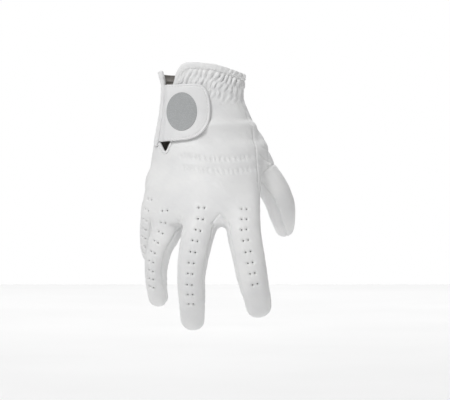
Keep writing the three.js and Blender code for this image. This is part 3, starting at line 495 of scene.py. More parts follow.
# The strip let in on the index side, as share of palm_length and width in mm, and the seam of the thumb
strip_rows = np.array([(0.255, 0.0), (0.30, 4.0), (0.36, 8.5), (0.43, 11.5), (0.53, 12.5), (0.64, 12.5),
                       (0.74, 10.5), (0.83, 6.5), (0.90, 0.0)])
strip_wide = smooth_curve(strip_rows[:, 0], strip_rows[:, 1], down) * mm
strip_line = np.where((down > 0.25) & (down < 0.905) & (x > 20 * mm),
                      np.minimum(-back_of_hand, back_of_hand + strip_wide), -3 * mm)
q = finger_local["thumb"]
thumb_seam = 0.44 * digits["thumb"].total
clear_of_hand = hand_field(x, y, z) - 0.8 * mm
thumb_line = np.minimum(q["along"] - thumb_seam, clear_of_hand)
thumb_line = np.where(fields.min(0) < digits["thumb"].field(skin_points), -4 * mm, thumb_line)
thumb_split = np.degrees(np.arctan2(q["back"] / q["b"], q["side"] / q["a"]))
thumb_front = np.interp(q["along"] / digits["thumb"].total, [0.42, 0.68, 0.9, 1.0], [112, 106, 84, 78])
half_turn = lambda angle: (angle + 180) % 360 - 180
thumb_half = (90 - np.abs(half_turn(thumb_split - thumb_front + 90))) * np.pi / 180 * q["a"]

along_finger = np.choose(nearest_finger, [finger_local[name]["along"] / digits[name].total
                                          for name in finger_names])
height_on_finger = np.choose(nearest_finger, [finger_local[name]["back"] / finger_local[name]["b"]
                                              for name in finger_names])
marks = dict(edge=from_edge, hem=hem_line, back=back_line, strip=strip_line, thumb=thumb_line,
             thumb_half=thumb_half, along_finger=along_finger, height_on_finger=height_on_finger,
             **web_lines)
mark_names = list(marks)
skin = dict(points=skin_points, normals=outward(skin_points)[1], triangles=skin_triangles,
            marks=np.stack([marks[name] for name in mark_names], 1))


def triangle_sides(tri):
    return np.vstack([tri[:, [0, 1]], tri[:, [1, 2]], tri[:, [2, 0]]])


def refine(piece, near, rounds):
    """Finer triangles where near(points) says so."""
    for turn in range(rounds):
        tri = piece["triangles"]
        chosen = near(piece)
        pairs = np.sort(triangle_sides(tri), axis=1)
        keys, back_to = np.unique(pairs, axis=0, return_inverse=True)
        back_to = back_to.reshape(3, -1).T
        cut = chosen[keys[:, 0]] & chosen[keys[:, 1]]
        number = np.full(len(keys), -1)
        number[cut] = len(chosen) + np.arange(cut.sum())
        half = lambda table: np.vstack([table, (table[keys[cut, 0]] + table[keys[cut, 1]]) / 2])
        points, normals, table = half(piece["points"]), half(piece["normals"]), half(piece["marks"])
        middle = number[back_to]
        count = (middle >= 0).sum(1)
        faces = [tri[count == 0]]
        t, m = tri[count == 3], middle[count == 3]
        for corners in ((t[:, 0], m[:, 0], m[:, 2]), (m[:, 0], t[:, 1], m[:, 1]),
                        (m[:, 2], m[:, 1], t[:, 2]), (m[:, 0], m[:, 1], m[:, 2])):
            faces.append(np.stack(corners, 1))
        for wanted in (1, 2):
            t, m = tri[count == wanted], middle[count == wanted]
            if not len(t):
                continue
            odd = (m >= 0) if wanted == 1 else (m < 0)
            k = odd.argmax(1)
            rows = np.arange(len(t))
            a0, a1, a2 = t[rows, k], t[rows, (k + 1) % 3], t[rows, (k + 2) % 3]
            m0, m1, m2 = m[rows, k], m[rows, (k + 1) % 3], m[rows, (k + 2) % 3]
            if wanted == 1:
                faces += [np.stack([a0, m0, a2], 1), np.stack([m0, a1, a2], 1)]
            else:
                faces += [np.stack([a0, a1, m1], 1), np.stack([a0, m1, m2], 1), np.stack([m2, m1, a2], 1)]
        piece = dict(points=points, normals=normals, marks=table, triangles=np.vstack(faces))
    return piece


# Folds. Elastic gathers the wrist and draws up two rows above the knuckles, sewn seams pucker, and the soft
# leather creases where it is bent. All are worked out on a finer skin and pushed along its normal.
gather_pitch = 4.3 * mm        # from one wrist fold to the next
elastic_start = 4.4 * mm       # first row of elastic, from the wrist edge
elastic_pitch = 7.6 * mm       # from one row of elastic to the next
shirring_rows = 0.612, 0.697   # shares of palm_length
tuck_pitch = 3.9 * mm          # tucks along a shirring row
pucker_pitch = 4.6 * mm
wrinkle_pitch = 7.2 * mm       # at the base of the thumb
fingertip_line = 181.7 * mm    # a faint crease across two fingertips


def bell(far, width):
    return np.exp(-(far / width) ** 2)


def ripples(x, z, size, seed):
    """Slow irregular waves between -1 and 1."""
    u, v = x / size, z / size
    return (np.sin(5.1 * u + 2.3 * v + seed) + np.sin(-3.2 * u + 4.4 * v + 1.7 * seed)
            + np.sin(2.1 * u - 6.3 * v + 2.9 * seed) + np.sin(7.7 * u + 5.9 * v + 0.6 * seed)) / 4


def on_back(points):
    """1 on the back half of the hand, 0 on the palm half."""
    s = hand_section(points[:, 2])
    return smooth_step(mid_depth(s, points[:, 0]) - points[:, 1], -1 * mm, 5 * mm)


def across_back(x, *places):
    """0 outside the first and last of four places across the back, 1 between the two others. The places are
    shares of breadth."""
    a, b, c, d = [place * breadth for place in places]
    return smooth_step(x, a, b) * (1 - smooth_step(x, c, d))


def gathered(points):
    """How strongly the wrist is gathered at each point."""
    down = -points[:, 2] / palm_length
    share = smooth_step(down, -0.055, 0.055) * (1 - smooth_step(down, 0.13, 0.26))
    return share * across_back(points[:, 0], -0.36, -0.28, 0.37, 0.43) * on_back(points)


def row_strays(x):
    """How far a shirring row strays from straight, as a share of palm_length."""
    return 0.012 * np.sin(x * 90)


def shirred(points, row):
    """How strongly one shirring row draws up the leather at each point."""
    x, down = points[:, 0], -points[:, 2] / palm_length
    row = row + row_strays(x)
    share = bump_between(down, row - 0.034, row + 0.034)
    return share * across_back(x, -0.24, -0.14, 0.40, 0.47) * on_back(points)


def mark(piece, name):
    return piece["marks"][:, mark_names.index(name)]


def from_seam(piece):
    """Distance from the nearest sewn seam."""
    lines = [np.abs(mark(piece, name)) for name in ["back", "strip", "thumb"] + list(web_lines)]
    halves = np.where(mark(piece, "thumb") > -1 * mm, np.abs(mark(piece, "thumb_half")), 9 * mm)
    return np.minimum(np.min(lines, axis=0), halves)


palm_creases = [               # seen from the front in mm: round the thumb, then across the palm
    [(23, -50), (13, -60), (9, -74), (14, -89), (30, -98)],
    [(-41, -84), (-24, -91), (-4, -91), (18, -98)],
    [(40, -92), (18, -82), (-8, -75), (-27, -70)],
    [(31, -44), (25, -54), (24, -66)],
]


def from_crease(points, crease):
    """Distance from a smooth line across the palm, and how strong the fold is there."""
    crease = np.array(crease, float)
    t = np.linspace(0, len(crease) - 1, 50)
    index = np.arange(len(crease))
    line = np.stack([smooth_curve(index, crease[:, k], t) for k in (0, 1)], 1) * mm
    best, share = np.full(len(points), 1.0), np.zeros(len(points))
    for k, place in enumerate(line):
        d = np.hypot(points[:, 0] - place[0], points[:, 2] - place[1])
        closer = d < best
        best[closer] = d[closer]
        share[closer] = math.sin(math.pi * (k + 0.5) / len(line)) ** 0.6
    return best, share


def worked(piece):
    """Where the leather has folds that need a finer skin."""
    points = piece["points"]
    fine = (gathered(points) > 0.02) | (from_seam(piece) < 1.6 * mm)
    for row in shirring_rows:
        fine |= shirred(points, row) > 0.02
    thumb_base = (points[:, 0] > 40 * mm) & (points[:, 2] > -92 * mm) & (points[:, 2] < -48 * mm)
    for crease in palm_creases:
        fine |= (from_crease(points, crease)[0] < 1.8 * mm) & (on_back(points) < 0.3)
    return fine | thumb_base


skin = refine(skin, worked, 1)
points = skin["points"]
x, z = points[:, 0], points[:, 2]
down = -z / palm_length
toward_back = on_back(points)

# Wrist gathers: long folds across every row of elastic, and shorter ones between two rows
phase = (x - 0.45 * z + 1.9 * mm * ripples(x, z, 21 * mm, 1.0)) / gather_pitch
elastic = (mark(skin, "edge") - elastic_start) / elastic_pitch + 0.10 * ripples(x, z, 18 * mm, 9.0)
long_lobe = np.abs(np.cos(np.pi * phase)) ** 0.75 - 0.55
short_lobe = np.abs(np.cos(np.pi * (phase + 0.37 * np.floor(elastic)))) ** 0.75 - 0.45
folds = mm * gathered(points) * (0.7 * long_lobe + 1.7 * short_lobe * np.abs(np.sin(np.pi * elastic)) ** 0.8)
folds = folds * (1 + 0.6 * ripples(x, z, 7 * mm, 4.0))

# A soft fold across the back where the wrist bends, then the two shirring rows with puffed leather between
cross = bump_between(down, 0.335, 0.435) - 0.8 * bump_between(down, 0.41, 0.54)
cross = cross * smooth_step(x, -0.05 * breadth, 0.12 * breadth) * toward_back
folds = folds + 1.9 * mm * cross * (1 + 0.35 * ripples(x, z, 20 * mm, 2.0))
for row, strength in zip(shirring_rows, (0.75, 0.62)):
    lobe = np.abs(np.cos(np.pi * (x + 0.25 * z + 0.8 * mm * ripples(x, z, 9 * mm, row * 10)) / tuck_pitch))
    folds = folds - strength * mm * shirred(points, row) * (1.15 - lobe ** 0.8)
    puff = bump_between(down, row - 0.085, row) + bump_between(down, row, row + 0.085)
    folds = folds + 0.22 * mm * puff * across_back(x, -0.28, -0.12, 0.40, 0.48) * toward_back

# Puckers along each seam, which lies in a narrow groove, and wrinkles at the base of the thumb
seam = from_seam(skin)
finger_part = smooth_step(-z, 100 * mm, 118 * mm)
pucker = np.sin(2 * np.pi * (z + 0.7 * x + 0.9 * mm * ripples(x, z, 11 * mm, 5.0)) / pucker_pitch)
pucker = pucker * (0.15 - 0.07 * finger_part)
folds = folds + bell(seam, 2.4 * mm) * mm * pucker - bell(seam, 0.75 * mm) * 0.22 * mm
thumb_base = bell(x - 53 * mm, 9 * mm) * bell(z + 70 * mm, 17 * mm)
thumb_base = thumb_base * (1 - smooth_step(z, -56 * mm, -46 * mm))
wrinkle = z + 0.55 * (x - 50 * mm) + 1.4 * mm * ripples(x, z, 14 * mm, 6.0)
wrinkle = np.abs(np.cos(np.pi * wrinkle / wrinkle_pitch)) ** 0.65
folds = folds + 1.15 * mm * thumb_base * (wrinkle - 0.45) * smooth_step(x, 41 * mm, 47 * mm) \
    * smooth_step(-mark(skin, "thumb"), 0.5 * mm, 5 * mm)

# Worn creases of the palm and across the palm side of each finger joint, and slow waves of slack leather
palm_side = 1 - smooth_step(mark(skin, "height_on_finger"), -0.65, 0.0)
palm_part = (1 - toward_back) * (1 - finger_part) * (mark(skin, "thumb") < 0)
for crease in palm_creases:
    far, share = from_crease(points, crease)
    far = far + 0.5 * mm * ripples(x, z, 9 * mm, 7.0)
    folds = folds - mm * palm_part * share * (1.3 * bell(far, 1.0 * mm) - 0.7 * bell(far, 3.4 * mm))
folds = folds + 0.45 * mm * palm_part * ripples(x, z, 21 * mm, 8.0)
joint_creases = ((0.30, 0.8), (0.345, 0.5), (0.55, 1.0), (0.60, 0.6), (0.77, 0.6))
for joint, depth in joint_creases:                   # share along the finger, and depth in mm
    shift = mark(skin, "along_finger") - joint - 0.012 * ripples(x, z, 12 * mm, joint * 20)
    folds = folds - depth * mm * finger_part * palm_side * (bell(shift, 0.013) - 0.45 * bell(shift, 0.035))
tip_line = bell(z + fingertip_line, 0.9 * mm) * (np.abs(x + 4 * mm) < 12 * mm)
folds = folds - 0.35 * mm * tip_line * (1 - palm_side)
slack = 0.32 * mm * ripples(x, z, 34 * mm, 0.4) + 0.14 * mm * ripples(x + points[:, 1], z, 13 * mm, 3.1)
folds = folds + slack
skin["normals"] = outward(points)[1]
skin["points"] = points + skin["normals"] * folds[:, None]


def split(piece, name):
    """Cut a piece along the line where a mark is zero: the part above zero, and the part below."""
    value = mark(piece, name)
    above = value > 0
    tri = piece["triangles"]
    parts = []
    pairs = triangle_sides(tri)
    crossing = above[pairs[:, 0]] != above[pairs[:, 1]]
    keys = np.unique(np.sort(pairs[crossing], axis=1), axis=0)
    t = value[keys[:, 0]] / (value[keys[:, 0]] - value[keys[:, 1]])
    t = np.clip(t, 0.06, 0.94)[:, None]              # keeps slivers out
    mix = lambda table: np.vstack([table, table[keys[:, 0]] * (1 - t) + table[keys[:, 1]] * t])
    points, normals, table = mix(piece["points"]), mix(piece["normals"]), mix(piece["marks"])
    number = {tuple(k): len(value) + i for i, k in enumerate(keys)}
    at_edge = lambda p, q: np.array([number[(min(i, j), max(i, j))] for i, j in zip(p, q)], int)
    for keep in (above, ~above):
        count = keep[tri].sum(1)
        faces = [tri[count == 3]]
        for wanted in (1, 2):
            some = tri[count == wanted]
            if not len(some):
                continue
            odd = keep[some] if wanted == 1 else ~keep[some]
            first = odd.argmax(1)
            rows = np.arange(len(some))
            i, j, k = some[rows, first], some[rows, (first + 1) % 3], some[rows, (first + 2) % 3]
            ij, ik = at_edge(i, j), at_edge(i, k)
            if wanted == 1:
                faces.append(np.stack([i, ij, ik], 1))
            else:
                faces.extend([np.stack([ij, j, k], 1), np.stack([ij, k, ik], 1)])
        faces = np.vstack(faces)
        used, faces = np.unique(faces, return_inverse=True)
        parts.append(dict(points=points[used], normals=normals[used], marks=table[used],
                          triangles=faces.reshape(-1, 3)))
    return parts


def rim_edges(tri):
    """Edges with a triangle on one side only, in the direction of their triangle."""
    pairs = triangle_sides(tri)
    order = np.sort(pairs, axis=1)
    _, index, count = np.unique(order, axis=0, return_index=True, return_counts=True)
    return pairs[index[count == 1]]


def drop_scraps(piece, least=60):
    """Without the loose scraps that a cut leaves."""
    tri = piece["triangles"]
    group = np.arange(len(piece["points"]))
    while True:
        low = group[tri].min(1)
        new = group.copy()
        for k in range(3):
            np.minimum.at(new, tri[:, k], low)
        new = new[new]
        if (new == group).all():
            break
        group = new
    size = np.bincount(group[tri[:, 0]], minlength=len(group))
    return dict(piece, triangles=tri[size[group[tri[:, 0]]] >= least])


def make_mesh(name, points, faces):
    mesh = bpy.data.meshes.new(name)
    mesh.from_pydata(np.asarray(points).tolist(), [], [list(map(int, f)) for f in faces])
    mesh.update()
    for face in mesh.polygons:
        face.use_smooth = True
    thing = bpy.data.objects.new(name, mesh)
    bpy.context.scene.collection.objects.link(thing)
    return thing


leather = 1.2 * mm


def leather_piece(name, piece, thickness=leather, tuck=0.45 * mm):
    """A cut piece of leather with its thickness; its edges are tucked into the seam and rounded."""
    piece = drop_scraps(piece)
    used, tri = np.unique(piece["triangles"], return_inverse=True)
    tri = tri.reshape(-1, 3)
    points, normals = piece["points"][used], piece["normals"][used]
    rim = rim_edges(tri)
    tree = KDTree(len(rim))
    middles = points[rim].mean(1)
    for k, place in enumerate(middles):
        tree.insert(place, k)
    tree.balance()
    away = np.array([tree.find(p)[2] for p in points])
    points = points - normals * (tuck * bell(away, 0.9 * mm))[:, None]
    inner = points - normals * thickness
    count = len(points)
    rim_points = np.unique(rim)
    outward_way = np.zeros((count, 3))
    along = points[rim[:, 1]] - points[rim[:, 0]]
    for end in (0, 1):
        np.add.at(outward_way, rim[:, end], np.cross(along, normals[rim[:, end]]))
    outward_way = unit(outward_way)
    middle_index = np.full(count, -1)
    middle_index[rim_points] = 2 * count + np.arange(len(rim_points))
    middle = (points + inner)[rim_points] / 2 + outward_way[rim_points] * thickness * 0.12
    vertices = np.vstack([points, inner, middle])
    i, j = rim.T
    faces = np.vstack([tri, tri[:, ::-1] + count])
    sides = np.vstack([np.stack([j, i, middle_index[i], middle_index[j]], 1),
                       np.stack([middle_index[j], middle_index[i], i + count, j + count], 1)])
    thing = make_mesh(name, vertices, list(faces) + list(sides))
    thing.data.materials.append(leather_finish)
    # inner faces get the suede, painted dark grey as painted shade for the inside of the glove
    thing.data.materials.append(suede_with_painted_shade.material)
    inside = np.zeros(len(thing.data.polygons), np.int32)
    inside[len(tri):2 * len(tri)] = 1
    thing.data.polygons.foreach_set("material_index", inside)
    return thing


# White leather: thin smooth full-grain leather, dyed white and lightly finished. It has fine grain, pores,
# faint creases and slow changes of tone and gloss. The flesh side, inside, is suede in a darker grey than
# its own colour: painted shade, so that the inside seen through the air holes and the wrist opening looks
# dark.
class Finish:
    """A material built from nodes, in the object's own metres."""

    def __init__(self, name, colour, roughness):
        self.material = bpy.data.materials.new(name)
        self.material.use_nodes = True
        self.tree = self.material.node_tree
        self.shader = self.tree.nodes["Principled BSDF"]
        self.shader.inputs["Base Color"].default_value = (*colour, 1)
        self.shader.inputs["Roughness"].default_value = roughness
        self.where = self.tree.nodes.new("ShaderNodeTexCoord").outputs["Object"]
        self.height = None

    def node(self, kind, **inputs):
        """A new node; each input is a number, a vector or another node's output."""
        node = self.tree.nodes.new("ShaderNode" + kind)
        for name, value in inputs.items():
            socket = node.inputs[name.replace("_", " ")]
            if isinstance(value, bpy.types.NodeSocket):
                self.tree.links.new(value, socket)
            else:
                socket.default_value = value
        return node

    def stretched(self, x, y, z):
        return self.node("Mapping", Scale=(x, y, z), Vector=self.where).outputs["Vector"]

    def noise(self, size, detail=3.0, roughness=0.5, along=None, distortion=0.0):
        return self.node("TexNoise", Scale=1 / size, Detail=detail, Roughness=roughness,
                         Distortion=distortion, Vector=along or self.where).outputs["Fac"]

    def cells(self, size):
        return self.node("TexVoronoi", Scale=1 / size, Vector=self.where).outputs["Distance"]

    def ramp(self, value, stops):
        node = self.node("ValToRGB", Fac=value)
        elements = node.color_ramp.elements
        while len(elements) < len(stops):
            elements.new(0.5)
        for element, (place, colour) in zip(elements, stops):
            element.position = place
            element.color = (*colour, 1)
        return node.outputs["Color"]

    def range(self, value, low, high, start, end):
        return self.node("MapRange", Value=value, From_Min=start, From_Max=end,
                         To_Min=low, To_Max=high).outputs["Result"]

    def multiply(self, colour, other):
        node = self.tree.nodes.new("ShaderNodeMix")
        node.data_type = "RGBA"
        node.blend_type = "MULTIPLY"
        node.inputs["Factor"].default_value = 1
        self.tree.links.new(colour, node.inputs["A"])
        self.tree.links.new(other, node.inputs["B"])
        return node.outputs["Result"]

    def bump(self, value, depth):
        node = self.node("Bump", Distance=depth, Strength=1.0, Height=value)
        if self.height is not None:
            self.tree.links.new(self.height, node.inputs["Normal"])
        self.height = node.outputs["Normal"]
        self.set("Normal", self.height)

    def set(self, name, output):
        self.tree.links.new(output, self.shader.inputs[name])


def white_leather(name, light, dark, roughness=0.46, grain=0.08 * mm, creases=0.20 * mm):
    finish = Finish(name, light, roughness)
    tone = finish.ramp(finish.noise(26 * mm, 4, 0.55), [(0.32, dark), (0.68, light)])
    pores = finish.ramp(finish.cells(0.75 * mm), [(0.0, (0.93, 0.93, 0.93)), (0.22, (1, 1, 1))])
    finish.set("Base Color", finish.multiply(tone, pores))
    gloss = finish.noise(7 * mm, 4)
    finish.set("Roughness", finish.range(gloss, roughness - 0.07, roughness + 0.09, 0.3, 0.7))
    crossways = finish.stretched(1.0, 1.0, 0.55)
    finish.bump(finish.noise(9 * mm, 5, 0.62, along=crossways, distortion=0.6), creases)
    finish.bump(finish.cells(0.62 * mm), grain)
    finish.bump(finish.noise(0.35 * mm, 2), grain * 0.4)
    finish.shader.inputs["Specular IOR Level"].default_value = 0.42
    finish.shader.inputs["Sheen Weight"].default_value = 0.08
    finish.shader.inputs["Sheen Roughness"].default_value = 0.4
    return finish.material


leather_finish = white_leather("white_leather", (0.82, 0.82, 0.815), (0.755, 0.757, 0.76))
# Suede of the inner faces, darkened to grey as painted shade for the dark inside of the glove seen through
# the holes
suede_with_painted_shade = Finish("suede_inside_painted_shade", (0.34, 0.32, 0.30), 0.95)
suede_with_painted_shade.set("Base Color", suede_with_painted_shade.ramp(suede_with_painted_shade.noise(3 * mm, 5),
                                   [(0.3, (0.29, 0.275, 0.26)), (0.7, (0.38, 0.36, 0.34))]))
suede_with_painted_shade.bump(suede_with_painted_shade.noise(0.4 * mm, 3), 0.10 * mm)


# The pattern. The skin is cut along its marks into the pieces of leather that the glove is sewn from: first
# the wrist opening and the hem, then the thumb, the side strip, the walls between fingers, back and palm.
glove, _ = split(skin, "edge")
glove, hem = split(glove, "hem")
thumb_piece, rest = split(glove, "thumb")
thumb_outer, thumb_inner = split(thumb_piece, "thumb_half")
strip, rest = split(rest, "strip")
walls = {}
for node in webs:
    walls[node], rest = split(rest, node)
back, palm = split(rest, "back")


def fixed(thing, node=None):
    """Join a finished piece to the glove, in the place of the node that it stands for."""
    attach(thing, "root")
    if node:
        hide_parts(node)


# Back panel: one piece of thin white leather over the back of the hand and the backs of the four fingers.
# Pairs of small air holes are punched along each finger, the wrist is gathered on elastic beside the tab,
# and two rows of elastic shirring cross it above the knuckles.
hole_radius = 0.70 * mm
hole_pitch = 7.5 * mm          # along the finger
hole_pair = 3.3 * mm           # between the two holes of a pair
dimple = 0.30 * mm             # how far the leather is drawn in round a hole
hole_axes = []
for name in finger_names:
    digit = digits[name]
    rows, start = digit.holes
    for row in range(rows):
        along = start * mm + row * hole_pitch
        turn = math.asin(hole_pair / 2 / np.interp(along, digit.at, digit.a))
        hole_axes += [digit.point(along, math.pi / 2 + way * turn) for way in (1, -1)]


def from_holes(points):
    """Distance from each point to the axis of the nearest hole."""
    best = np.full(len(points), 1.0)
    for place, axis in hole_axes:
        near = np.nonzero(((points - place) ** 2).sum(1) < (4 * mm) ** 2)[0]
        away = points[near] - place
        away = away - (away @ axis)[:, None] * axis
        best[near] = np.minimum(best[near], np.linalg.norm(away, axis=1))
    return best


back = refine(back, lambda piece: from_holes(piece["points"]) < 2.0 * mm, 1)
back = refine(back, lambda piece: from_holes(piece["points"]) < 1.35 * mm, 1)
to_hole = from_holes(back["points"])
sunk = dimple * bell(np.maximum(to_hole - hole_radius, 0), 0.5 * mm)
back["points"] = back["points"] - back["normals"] * sunk[:, None]
mark_names.append("holes")
back["marks"] = np.hstack([back["marks"], (to_hole - hole_radius)[:, None]])
back, _ = split(back, "holes")
fixed(leather_piece("back_leather", back, tuck=0.40 * mm), "back_panel")

# Palm panel: palm, heel of the thumb and the fronts of the fingers, cut from one piece of the same leather
# and sewn to the back all round, with the seams turned inside.
fixed(leather_piece("palm_leather", palm), "palm_panel")

# Side strip: a narrow strip of the same leather, let in between back and palm beside the index finger to
# give room there, and sewn along both its edges.
fixed(leather_piece("side_strip_leather", strip), "side_strip")

# Fourchettes: the side walls between two neighbouring fingers, one V of leather each, sewn in with narrow
# seams to the back and to the palm.
for node, piece in walls.items():
    fixed(leather_piece(node + "_leather", piece), node)

# Thumb: an outer and an inner piece of the same leather, sewn together along both sides and set in to the
# palm with a seam round the base.
fixed(leather_piece("thumb_outer_leather", thumb_outer), "thumb_outer")
fixed(leather_piece("thumb_inner_leather", thumb_inner), "thumb_inner")

# Hem: a binding of thin leather folded over the wrist edge and down the free side of the slit, and held by
# a row of stitches.
hem_swell = 0.50 * mm
hem_thick = 1.7 * mm
hem_stitch_row = 0.80          # share of the hem's width, from its edge
hem_stitch_pitch = 2.7 * mm
hem_on_slit = smooth_step(-hem["points"][:, 2], *slit_starts) * on_back(hem["points"])
band_width = hem_width + (slit_binding_width - hem_width) * hem_on_slit
band = np.clip(mark(hem, "edge") / band_width, 0, 1)
hem["points"] = hem["points"] + hem["normals"] * (hem_swell * (1 - (2 * band - 1) ** 4))[:, None]
fixed(leather_piece("hem_binding", hem, hem_thick, tuck=0.25 * mm), "cuff_binding")


def trace(piece, value):
    """The lines on a piece where the value is zero: points and normals of each."""
    tri = piece["triangles"]
    above = value > 0
    pairs = np.stack([tri, np.roll(tri, -1, 1)], 2)
    crossed = above[pairs[..., 0]] != above[pairs[..., 1]]
    links = {}
    for row in np.nonzero(crossed.sum(1) == 2)[0]:
        first, second = [tuple(sorted(pair)) for pair in pairs[row][crossed[row]].tolist()]
        links.setdefault(first, []).append(second)
        links.setdefault(second, []).append(first)
    lines = []
    while links:
        here = next((key for key, others in links.items() if len(others) == 1), next(iter(links)))
        line = []
        while here is not None:
            line.append(here)
            here = next((key for key in links.pop(here) if key in links), None)
        i, j = np.array(line).T
        t = (value[i] / (value[i] - value[j]))[:, None]
        lines.append([piece[name][i] * (1 - t) + piece[name][j] * t for name in ("points", "normals")])
    return lines


def stitch_places(points, normals, pitch):
    """Middle, direction and outward direction of stitches evenly spaced along a line."""
    travelled = length_along(points)
    count = max(int(travelled[-1] / pitch), 1)
    at = (np.arange(count) + 0.5) * travelled[-1] / count
    ahead = unit(look_up(at + 0.3 * pitch, travelled, points) - look_up(at - 0.3 * pitch, travelled, points))
    out = look_up(at, travelled, normals)
    out = unit(out - ahead * (out * ahead).sum(1)[:, None])
    return look_up(at, travelled, points), ahead, out


thread = Finish("white_thread", (0.86, 0.86, 0.85), 0.55)
thread.bump(thread.noise(0.25 * mm, 2, along=thread.stretched(1, 1, 3)), 0.04 * mm)
thread.set("Base Color", thread.ramp(thread.noise(2 * mm, 2),
                                     [(0.3, (0.8, 0.8, 0.79)), (0.7, (0.88, 0.88, 0.875))]))


def between_rings(rings, count, start=0):
    """Four-sided faces from each ring of points to the next."""
    return [(start + j * count + i, start + j * count + (i + 1) % count,
             start + (j + 1) * count + (i + 1) % count, start + (j + 1) * count + i)
            for j in range(rings - 1) for i in range(count)]


def closed_mesh(name, points, faces, material):
    """A closed solid with its faces turned outward."""
    thing = make_mesh(name, points, faces)
    work = bmesh.new()
    work.from_mesh(thing.data)
    bmesh.ops.recalc_face_normals(work, faces=work.faces)
    work.to_mesh(thing.data)
    work.free()
    thing.data.materials.append(material)
    return thing


def stitches(name, places, length=1.9 * mm, radius=0.26 * mm, lift=0.16 * mm):
    """Stitches as short plump threads, with both ends sunk in the leather."""
    middle, ahead, out = [np.vstack(part)[:, None, None] for part in zip(*places)]
    cross = np.cross(ahead, out)
    u = np.array([-1, -0.86, -0.5, 0, 0.5, 0.86, 1])[None, :, None, None]
    plump = np.array([0.15, 0.62, 0.95, 1, 0.95, 0.62, 0.15])[None, :, None, None]
    sides = 8
    turn = (2 * np.pi * np.arange(sides) / sides)[None, None, :, None]
    sink = 0.40 * mm
    points = middle + ahead * u * length / 2 + out * (lift - sink * u ** 2) \
        + (cross * np.cos(turn) + out * np.sin(turn)) * radius * plump
    rings = u.size
    shape = between_rings(rings, sides)
    shape += [tuple(range(sides))[::-1], tuple(range((rings - 1) * sides, rings * sides))]
    faces = [tuple(k + rings * sides * n for k in face) for n in range(len(middle)) for face in shape]
    fixed(closed_mesh(name, points.reshape(-1, 3), faces, thread.material))


shortest_line = 12             # points; shorter lines are scraps
hem_lines = [line for line in trace(hem, band - hem_stitch_row) if len(line[0]) > shortest_line]
stitches("hem_stitches", [stitch_places(*line, hem_stitch_pitch) for line in hem_lines])

# Elastic stitching: two rows of white thread, sewn over elastic that lies inside, cross the back above the
# knuckles and draw it up.
shirring_places = []
for row in shirring_rows:
    points = back["points"]
    value = points[:, 2] / palm_length + row + row_strays(points[:, 0])
    for line in trace(back, value):
        middle, ahead, out = stitch_places(*line, tuck_pitch)
        keep = (middle[:, 0] > -12.5 * mm) & (middle[:, 0] < 38 * mm) & (middle[:, 1] < 0)
        if len(line[0]) > shortest_line and keep.any():
            shirring_places.append((middle[keep], ahead[keep], out[keep]))
stitches("shirring_stitches", shirring_places, length=1.5 * mm, radius=0.24 * mm, lift=0.10 * mm)


# Tab: the wrap-over tab of the wrist closing, two layers of leather over a stiff core with a turned edge,
# sewn all round. It comes out of the roll on the little-finger side and lies over the slit.
def back_surface(px, pz, offset=0.0):
    """Point seen from the front at px, pz, this far outside the back of the hand."""
    def at(qx, qz):
        s = hand_section(qz)
        u = np.clip(np.abs(qx - s["x"]) / s["a"], 0, 0.985)
        return mid_depth(s, qx) - s["b"] * (1 - u ** s["square"]) ** (1 / s["square"])
    px, pz = np.asarray(px, float), np.asarray(pz, float)
    e = 0.4 * mm
    slope_x = (at(px + e, pz) - at(px - e, pz)) / (2 * e)
    slope_z = (at(px, pz + e) - at(px, pz - e)) / (2 * e)
    out = unit(np.stack([slope_x, -np.ones_like(slope_x), slope_z], -1))
    return np.stack([px, at(px, pz) - offset / np.maximum(-out[..., 1], 0.45), pz], -1)


def closed_curve(corners, count):
    """Evenly spaced points on a smooth closed curve through the corners."""
    p0, p1, p2, p3 = [np.roll(np.array(corners, float), k, 0) for k in (1, 0, -1, -2)]
    curve = smooth_between(p0, p1, p2, p3, (np.arange(24) / 24)[:, None, None])
    curve = curve.transpose(1, 0, 2).reshape(-1, 2)
    curve = np.vstack([curve, curve[:1]])
    length = length_along(curve)
    return look_up(np.linspace(0, length[-1], count + 1)[:-1], length, curve)


def plate(name, outline, centre, low, height, insets, material, under=lambda inset: 0 * inset):
    """A closed plate that lies low above the back of the hand. height gives its top above low, and under how
    far its under side reaches below low, both by the length in from the outline."""
    count = len(outline)
    reach = np.linalg.norm(outline - centre, axis=1)
    rim = 5 * mm                                   # rings keep their distance from the outline up to here
    rings, depths = [], []
    for inset in insets:
        scale = np.clip(1 - inset / reach, 0, 1)[:, None] if inset < rim else \
            ((1 - rim / reach) * (1 - (inset - rim) / (reach.max() - rim)))[:, None]
        rings.append(centre + (outline - centre) * np.maximum(scale, 0.02))
        depths.append(np.full(count, inset))
    flat, inset = np.vstack(rings), np.concatenate(depths)
    top = back_surface(flat[:, 0], flat[:, 1], low + height(inset, flat))
    bottom = back_surface(flat[:, 0], flat[:, 1], low - under(inset))
    faces = []
    for side, start in ((0, 0), (1, len(flat))):
        last = [start + (len(rings) - 1) * count + i for i in range(count)]
        sheet = between_rings(len(rings), count, start) + [last]
        faces += sheet if side else [face[::-1] for face in sheet]
    faces += [(i, (i + 1) % count, len(flat) + (i + 1) % count, len(flat) + i) for i in range(count)]
    return closed_mesh(name, np.vstack([top, bottom]), faces, material)


def rounded_edge(inset, radius):
    return np.sqrt(np.clip(1 - (1 - np.clip(inset / radius, 0, 1)) ** 2, 0, 1))


